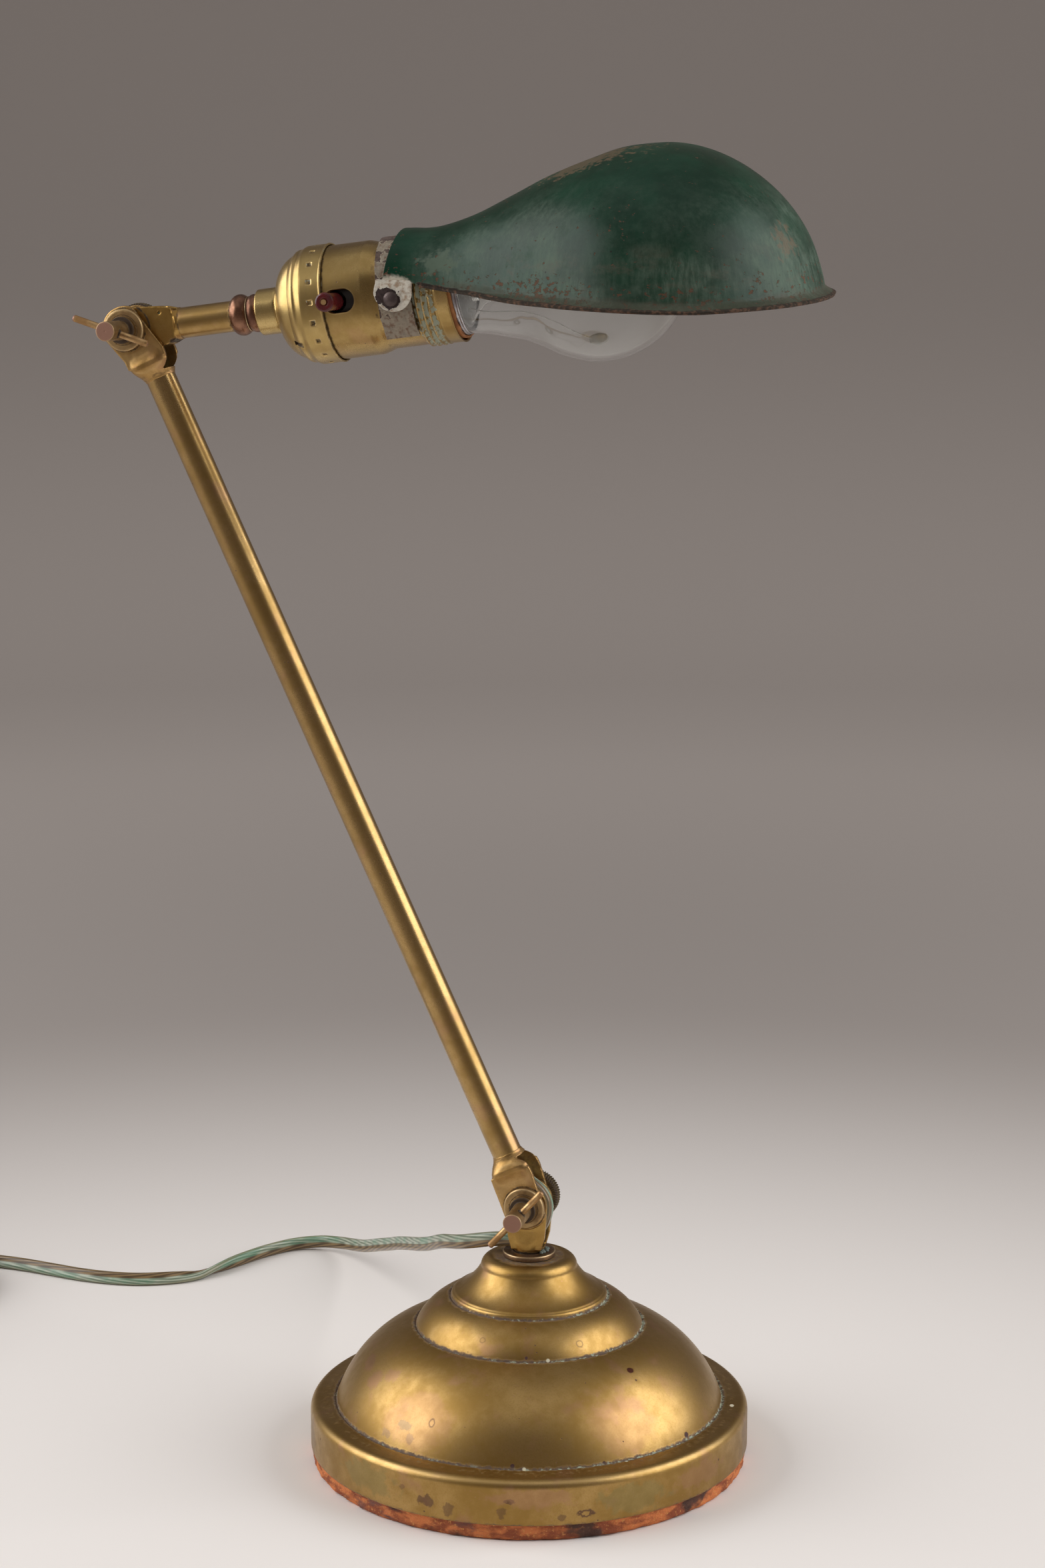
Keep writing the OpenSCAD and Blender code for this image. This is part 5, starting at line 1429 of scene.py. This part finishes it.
def add_bulb():
    line = bulb_outline()
    inner = inset(line, 0.55)[::-1]
    globe = turned_piece("bulb_envelope", [*line, *inner], HEAD, "x", 144, radius=0, sharp=60)
    finish_piece(globe, "bulb", "clear_glass", CLEAR_GLASS, "bulb_glass")

    flare = [(13.0, 118.4), (10.5, 120.2), (7.2, 123.6), (5.2, 128), (4.2, 134), (3.8, 140), (3.2, 145.5),
             (1.6, 148.6), (0, 149)]
    outside = resampled(flare, 0.8)
    inside = inset(outside, 0.5)[::-1]
    stem = turned_piece("bulb_flare_stem", [*outside, *inside], HEAD, "x", 72, radius=0, sharp=60)
    finish_piece(stem, "bulb", "clear_glass", INNER_GLASS, "bulb_stem")
    disc = [(0, 119.3), (5, 119.25), (10, 118.9), (13.6, 118.2), (13.6, 117.6), (0, 117.6)]
    seal = turned_piece("bulb_neck_seal", disc, HEAD, "x", 96, radius=0.1, step=0.6)
    finish_piece(seal, "bulb", "clear_glass", SEAL)

    parts = [wire("lead", [(149, s, 0), (156, s * 3, 0.3), (162, s * 6, 0.2), (166, s * 8, 0)], 0.28, HEAD)
             for s in (-1, 1)]
    turns = TAU * 16
    coil = [(165.8 + 0.8 * math.cos(a), -7.6 + 15.2 * a / turns, 0.8 * math.sin(a))
            for a in np.linspace(0, turns, 260)]
    parts.append(wire("filament", coil, 0.14, HEAD, 6))
    finish_piece(joined("bulb_leads", parts), "bulb", "filament_wire", WIRE, "bulb_filament")

    # A loose support wire that ends in a grey bead, low in the globe
    fallen = [(120.5, -9, -7.5), (128, -11, -9.5), (140, -12.5, -11), (149, -13, -15), (156, -13, -19.5),
              (161, -12.5, -22)]
    loose = wire("loose", fallen, 0.16, HEAD)
    drop = [(0, -3.3), (1.1, -2.8), (1.8, -1.2), (1.9, 0.6), (1.4, 2.4), (0.7, 3.1), (0, 3.3)]
    bead = build("bead", *revolve(drop, 32, "x"), HEAD)
    p = points_of(bead)
    set_points(bead, p * (1, 0.5, 1) + (163, -12.3, -22.5))
    knot = [(123 + 0.55 * k / 10, -12.6 + 1.1 * math.cos(k * 0.62), -4.2 + 1.1 * math.sin(k * 0.62))
            for k in range(46)]
    tangle = wire("tangle", knot, 0.26, HEAD, 8)
    finish_piece(joined("loose_support", [loose, bead]), "bulb", "filament_wire", BEAD_GREY)
    finish_piece(tangle, "bulb", "filament_wire", BRIGHT_WIRE)

    ring = [(13.3, 90.2), (13.3, 113.4), (14.2, 114.2), (15.5, 115.0), (16.0, 115.8), (16.05, 117.2),
            (15.75, 117.6), (15.95, 118.0), (15.7, 118.45), (15.2, 118.4), (15.2, 116.2), (12.7, 114.0),
            (12.7, 90.2)]
    cap = turned_piece("bulb_base_cap", ring, HEAD, "x", 128, radius=0.2, step=0.4)
    p = points_of(cap)
    r, angle = around_head(p)
    threaded = ease(92, 94, p[:, 0]) * (1 - ease(108, 110, p[:, 0]))
    wave = 0.45 * np.sin(TAU * ((p[:, 0] - 93) / 3.6 - angle / 360)) * threaded
    p[:, 1:] += (p[:, 1:] / r[:, None]) * (wave * (r > 12))[:, None]
    set_points(cap, p)
    paint(cap, "grime_and_shade", 0.45 * bell(p[:, 0], 117.6, 0.25))
    finish_piece(cap, "bulb", "plated_steel", CAP_STEEL, "bulb_cap")


# ---- cord ----

CORD_WIDTH = 5.2
CORD_THICK = 2.7
COIL_CENTRE = (-292, 98)
COIL_OUTER = 39.5
COIL_INNER = 20.5
ROUTE = [(-6, 0, 77), (-9, 0, 77), (-15, 1, 76), (-22, 5, 73.5), (-29, 13, 70), (-37, 24, 66), (-43, 35, 61.5),
         (-49, 47, 56.5), (-56, 60, 51.5), (-63, 74, 46.5), (-70, 88, 41.5), (-77, 103, 36), (-84, 117, 30.5),
         (-92, 131, 25), (-99, 145, 19.5), (-107, 159, 14), (-115, 172, 9.5), (-124, 183, 6), (-135, 189, 3.8),
         (-146, 186, 2.8), (-155, 175, 2.7), (-162, 162, 2.7), (-169, 149, 2.7), (-178, 138, 2.7),
         (-191, 131, 2.7), (-205, 129, 2.7), (-219, 130, 2.7), (-233, 133, 2.7), (-247, 136, 2.7),
         (-261, 137.5, 2.8), (-277, 137.5, 3.2), (-291, 137.5, 3.3)]
TAIL = [(-331.5, 99, 8.6), (-331.5, 86, 7), (-329.5, 73, 4.4), (-324, 60, 2.9), (-315, 49, 2.8), (-303, 43, 3.4),
        (-292, 42, 4.4)]
LOWER_LOOP = [(-10, 112.8), (-7, 106), (-1, 100), (4.6, 95.5), (6.9, 90.5), (6.2, 85), (3, 79.5), (-2, 77.1),
              (-6.2, 77)]
UPPER_LOOP_ARM = [(2.5, 24), (2.5, 18), (2.3, 13.5), (-0.5, 9), (-4.2, 4.5), (-5.4, 0)]
UPPER_LOOP_HEAD = [(-4.6, 3), (-1.5, 5.4), (2.5, 5.6), (7, 4.2), (11.5, 2.2), (15.5, 0.3), (17.5, 0), (20.4, 0)]


def coil_points():
    """The coil's turns: a flat spiral inwards on the table, and one outwards on top of it."""
    low_turns, high_turns, step = 3.6, 3.65, 12
    out = []
    for k in range(1, int((low_turns + high_turns) * 360 / step)):
        turn = k * step / 360
        if turn < low_turns:
            r = COIL_OUTER - (COIL_OUTER - COIL_INNER) * turn / low_turns
        else:
            r = COIL_INNER + (COIL_OUTER - COIL_INNER) * (turn - low_turns) / high_turns
        t = math.radians(90 + k * step)
        z = 3.4 + 5.4 * float(ease(low_turns - 0.2, low_turns + 0.25, turn))
        out.append((COIL_CENTRE[0] + r * math.cos(t), COIL_CENTRE[1] + r * math.sin(t), z))
    return out


def lengths_along(path):
    """How far along the path each of its points is."""
    return np.concatenate([[0], np.cumsum(np.linalg.norm(np.diff(path, axis=0), axis=1))])


def twin_section(n=10):
    """Outline of the flat twin cord: two round wires side by side with a notch between them."""
    r, off = CORD_THICK / 2, (CORD_WIDTH - CORD_THICK) / 2
    ends = [(side, math.radians(-118 + 236 * i / n) + (0 if side > 0 else math.pi))
            for side in (1, -1) for i in range(n + 1)]
    return np.array([(side * off + r * math.cos(t), r * math.sin(t)) for side, t in ends])


def flat_cord(name, path, roll, level=(0, 0, 1.0)):
    """The twin cord carried along a path, its width turned by roll from across the level direction."""
    section = twin_section()
    tangent = unit(np.gradient(path, axis=0))
    side = unit(np.cross(tangent, level))
    up = np.cross(side, tangent)
    c, s = np.cos(roll)[:, None], np.sin(roll)[:, None]
    wide, thin = side * c + up * s, -side * s + up * c
    rings = [q + section[:, :1] * a + section[:, 1:] * b for q, a, b in zip(path, wide, thin)]
    obj = loft(name, rings, WORLD)
    along = lengths_along(path)
    turn = np.arctan2(section[:, 1], np.abs(section[:, 0]) - (CORD_WIDTH - CORD_THICK) / 2)
    paint(obj, "across", np.tile(section[:, 0], len(path)))
    paint(obj, "along", np.repeat(along, len(section)))
    paint(obj, "around", np.tile(turn, len(path)))
    return obj, along


def add_cord():
    path = smooth_path([*ROUTE, *coil_points(), *TAIL], 2.0)
    along = lengths_along(path)
    lying = ease(0, 380, along)
    flip = 150 * ease(284, 330, along) - 28 * ease(390, 480, along)
    roll = np.radians(90 + flip + 10 * ease(390, 480, along) * np.sin(along / 55))
    half = CORD_THICK / 2 + (CORD_WIDTH - CORD_THICK) / 2 * np.abs(np.sin(roll))
    path[:, 2] -= (CORD_WIDTH / 2 - half) * lying
    cord, along = flat_cord("flat_twin_cord", path, roll)
    finish_piece(cord, "stem", "clear_cord", CORD_SKIN, "cord_run", "cord_coil", "cord_tail")


def knuckle_loop(name, points, node):
    """A loop of cord that curves across a knuckle, from the part on one side to the part on the other."""
    path = smooth_path(points, 1.0)
    loop, _ = flat_cord(name, path, np.zeros(len(path)), (0, 1.0, 0))
    turn_flat(loop, path)
    loop.data.materials.append(CORD_SKIN)
    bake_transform(loop)
    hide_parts(node)


def add_loops():
    """The captive cord at the two knuckles."""
    low = [(x, 0, z) for x, z in LOWER_LOOP]
    knuckle_loop("lower_knuckle_cord", low, "lower_cord_loop")
    near_arm = [UPPER_END @ (Vector((x, 0, z)) * MM) / MM for x, z in UPPER_LOOP_ARM]
    near_head = [HEAD @ (Vector((x, 0, z)) * MM) / MM for x, z in UPPER_LOOP_HEAD]
    knuckle_loop("upper_knuckle_cord", [tuple(q) for q in [*near_arm, *near_head]], "upper_cord_loop")


def turn_flat(obj, path):
    """Swaps a flat cord's width from the bend's plane to across it."""
    p = points_of(obj)
    rings = p.reshape(len(path), -1, 3)
    side = np.cross(unit(np.gradient(path, axis=0)), (0, 1.0, 0))
    for ring, centre, a in zip(rings, path, side):
        d = ring - centre
        wide, thin = d @ a, d[:, 1].copy()
        ring[:] = centre + np.outer(thin, a) + np.outer(wide, (0, 1.0, 0))
    set_points(obj, rings.reshape(-1, 3))
    outward(obj)


# ---- materials in use ----

CRUMBS = moulded("putty_crumbs", (0.22, 0.27, 0.24), (0.075, 0.09, 0.08), 0.7, 0.25, 1.2)
TUBE_BRASS = brass("tube_brass", (0.47, 0.31, 0.125), (0.33, 0.205, 0.065), 0.25, pink=0.45, specks=0.5, haze=0.2)
BRIGHT_BRASS = brass("cap_brass", (0.57, 0.415, 0.175), (0.43, 0.30, 0.11), 0.24, pink=0.12, specks=0.3, green=0.8)
SHELL_BRASS = brass("socket_shell_brass", (0.46, 0.32, 0.125), (0.32, 0.21, 0.07), 0.24, pink=0.25, specks=0.4,
                    green=1.0)
COPPER = plain_metal("coupling_copper", (0.29, 0.150, 0.092), (0.15, 0.072, 0.048), 0.26, 0.42)
POST_BRASS = plain_metal("post_brass", (0.42, 0.28, 0.13), (0.25, 0.155, 0.07), 0.38, 0.62, 0.02)
ROD_BRASS = plain_metal("rod_brass", (0.58, 0.38, 0.18), (0.36, 0.21, 0.09), 0.36, 0.58, 0.03)
WASHER_BRASS = plain_metal("washer_brass", (0.43, 0.29, 0.135), (0.27, 0.17, 0.08), 0.42, 0.62, 0.02)
NUT_BRASS = plain_metal("nut_brass", (0.22, 0.17, 0.085), (0.11, 0.085, 0.045), 0.42, 0.65, 0.03)
CAP_STEEL = plain_metal("bulb_cap_steel", (0.50, 0.49, 0.50), (0.27, 0.25, 0.26), 0.22, 0.40, 0.006,
                        dirt=(0.08, 0.06, 0.05))
WIRE = plain_metal("bulb_wire", (0.35, 0.33, 0.31), (0.16, 0.15, 0.14), 0.3, 0.5, 0.0)
BRIGHT_WIRE = plain_metal("bright_wire", (0.80, 0.80, 0.78), (0.55, 0.55, 0.53), 0.15, 0.3, 0.0, specks=0.0)
BEAD_GREY = moulded("bead_grey", (0.66, 0.64, 0.60), (0.55, 0.53, 0.49), 0.5, 0.0)
RIVET_IRON = plain_metal("rivet_iron", (0.125, 0.092, 0.086), (0.070, 0.050, 0.048), 0.42, 0.6, 0.03, metallic=0.55)
KNOB_RED = moulded("knob_red", (0.115, 0.010, 0.012), (0.055, 0.006, 0.008), 0.22, 0.004, 5)
LINER = moulded("copper_fibre", (0.56, 0.235, 0.075), (0.36, 0.13, 0.045), 0.5, 0.05, 4)
CLIP_PAINT = painted("clip_paint", (0.32, 0.272, 0.205), (0.17, 0.10, 0.062), (0.125, 0.085, 0.07), 0.63, 1.0)
EAR_PAINT = painted("ear_paint", (0.76, 0.72, 0.62), (0.30, 0.17, 0.08), (0.060, 0.040, 0.038), 0.80, 0.75)
CLEAR_GLASS = glass("bulb_clear_glass", (0.97, 0.985, 0.98))
INNER_GLASS = glass("bulb_stem_glass", (0.97, 0.98, 0.97), 1.14)
SEAL = moulded("bulb_seal", (0.50, 0.49, 0.48), (0.34, 0.33, 0.32), 0.22, 0.0, 9)
CORD_SKIN = cord_plastic()
BLACK_RUBBER = moulded("black_rubber", (0.018, 0.017, 0.016), (0.034, 0.031, 0.028), 0.5, 0.04, 4)
BLACK_FIBRE = moulded("black_insulator_moulding", (0.014, 0.012, 0.011), (0.03, 0.026, 0.022), 0.32, 0.01, 5)
PLATED = plain_metal("plated_steel", (0.52, 0.51, 0.49), (0.30, 0.28, 0.26), 0.3, 0.5)
INNER_BRASS = brass("inner_brass", (0.64, 0.44, 0.16), (0.48, 0.31, 0.10), 0.3, pink=0.2, specks=0.2)
KEPT = {
    "stem_locknut": INNER_BRASS, "stem_washer": PLATED, "arm_cord": CORD_SKIN, "head_cord": CORD_SKIN,
    "socket_body": BLACK_FIBRE, "lamp_screw_shell": INNER_BRASS, "centre_contact": INNER_BRASS,
    "terminal_screws": INNER_BRASS, "switch_rod": ROD_BRASS, "bulb_insulator": BLACK_FIBRE, "bulb_contact": PLATED,
    "cord_tie": BLACK_RUBBER, "plug_body": BLACK_RUBBER, "plug_blades": INNER_BRASS,
}


def finish_kept_nodes():
    """The CAD parts that stay as they are get their materials."""
    for name, material in KEPT.items():
        node = frame["nodes"][name]
        node.data.materials.clear()
        node.data.materials.append(material)
        smooth_shading(node, 32)


# ---- camera, stage and lights ----


def add_camera():
    """A long lens a little above the shade's rim, turned towards the lamp's right side."""
    data = bpy.data.cameras.new("camera")
    data.sensor_width = 36
    data.lens = 68.96
    camera = bpy.data.objects.new("camera", data)
    camera.location = (0.2305, -0.9699, 0.4141)
    camera.rotation_euler = (math.radians(79.96), 0, math.radians(13.5))
    bpy.context.scene.collection.objects.link(camera)
    bpy.context.scene.camera = camera


def add_light(name, azimuth, elevation, distance, size, power, aim=(0, 0, 0.2)):
    """A soft box, seen from the lamp at an azimuth from -Y towards +X and an elevation, in degrees."""
    data = bpy.data.lights.new(name, "AREA")
    data.shape = "RECTANGLE"
    data.size, data.size_y = size
    data.energy = power
    light = bpy.data.objects.new(name, data)
    a, e = math.radians(azimuth), math.radians(elevation)
    out = Vector((math.sin(a) * math.cos(e), -math.cos(a) * math.cos(e), math.sin(e)))
    light.location = Vector(aim) + out * distance
    light.rotation_euler = out.to_track_quat("Z", "Y").to_euler()
    light.visible_camera = False
    bpy.context.scene.collection.objects.link(light)


def add_stage():
    """A round sweep: floor, a wide cove and a wall, so that it looks the same from every side."""
    cove = [(1.9 + 0.9 * math.sin(t), 0.9 - 0.9 * math.cos(t)) for t in np.linspace(0, math.pi / 2, 16)]
    profile = np.array([(0.0, 0.0), (0.6, 0.0), (1.3, 0.0), *cove, (2.8, 3.2)]) / MM
    floor = build("floor_sweep", *revolve(profile, 96))
    floor.data.materials.append(paper_with_painted_light())


def add_room():
    world = bpy.data.worlds.new("dim_room")
    bpy.context.scene.world = world
    world.use_nodes = True
    world.node_tree.nodes["Background"].inputs["Color"].default_value = (0.30, 0.28, 0.27, 1)
    world.node_tree.nodes["Background"].inputs["Strength"].default_value = 0.85
    add_light("left_softbox", -76, 26, 1.3, (1.3, 1.15), 15.2)
    add_light("right_softbox", 96, 26, 1.3, (1.3, 1.15), 15.2)
    add_light("overhead", 0, 90, 1.9, (1.8, 1.8), 3.5, aim=(0, -0.45, 0.2))


add_camera()
add_cord()
add_loops()
add_base()
add_stem()
add_arm()
add_screw("lower", LOWER_SCREW, ARM, "arm")
add_screw("upper", UPPER_SCREW, UPPER_END, "arm")
add_head()
add_switch()
add_clip()
add_shade()
add_bulb()
finish_kept_nodes()
add_stage()
add_room()
bpy.context.scene.view_settings.view_transform = "Standard"
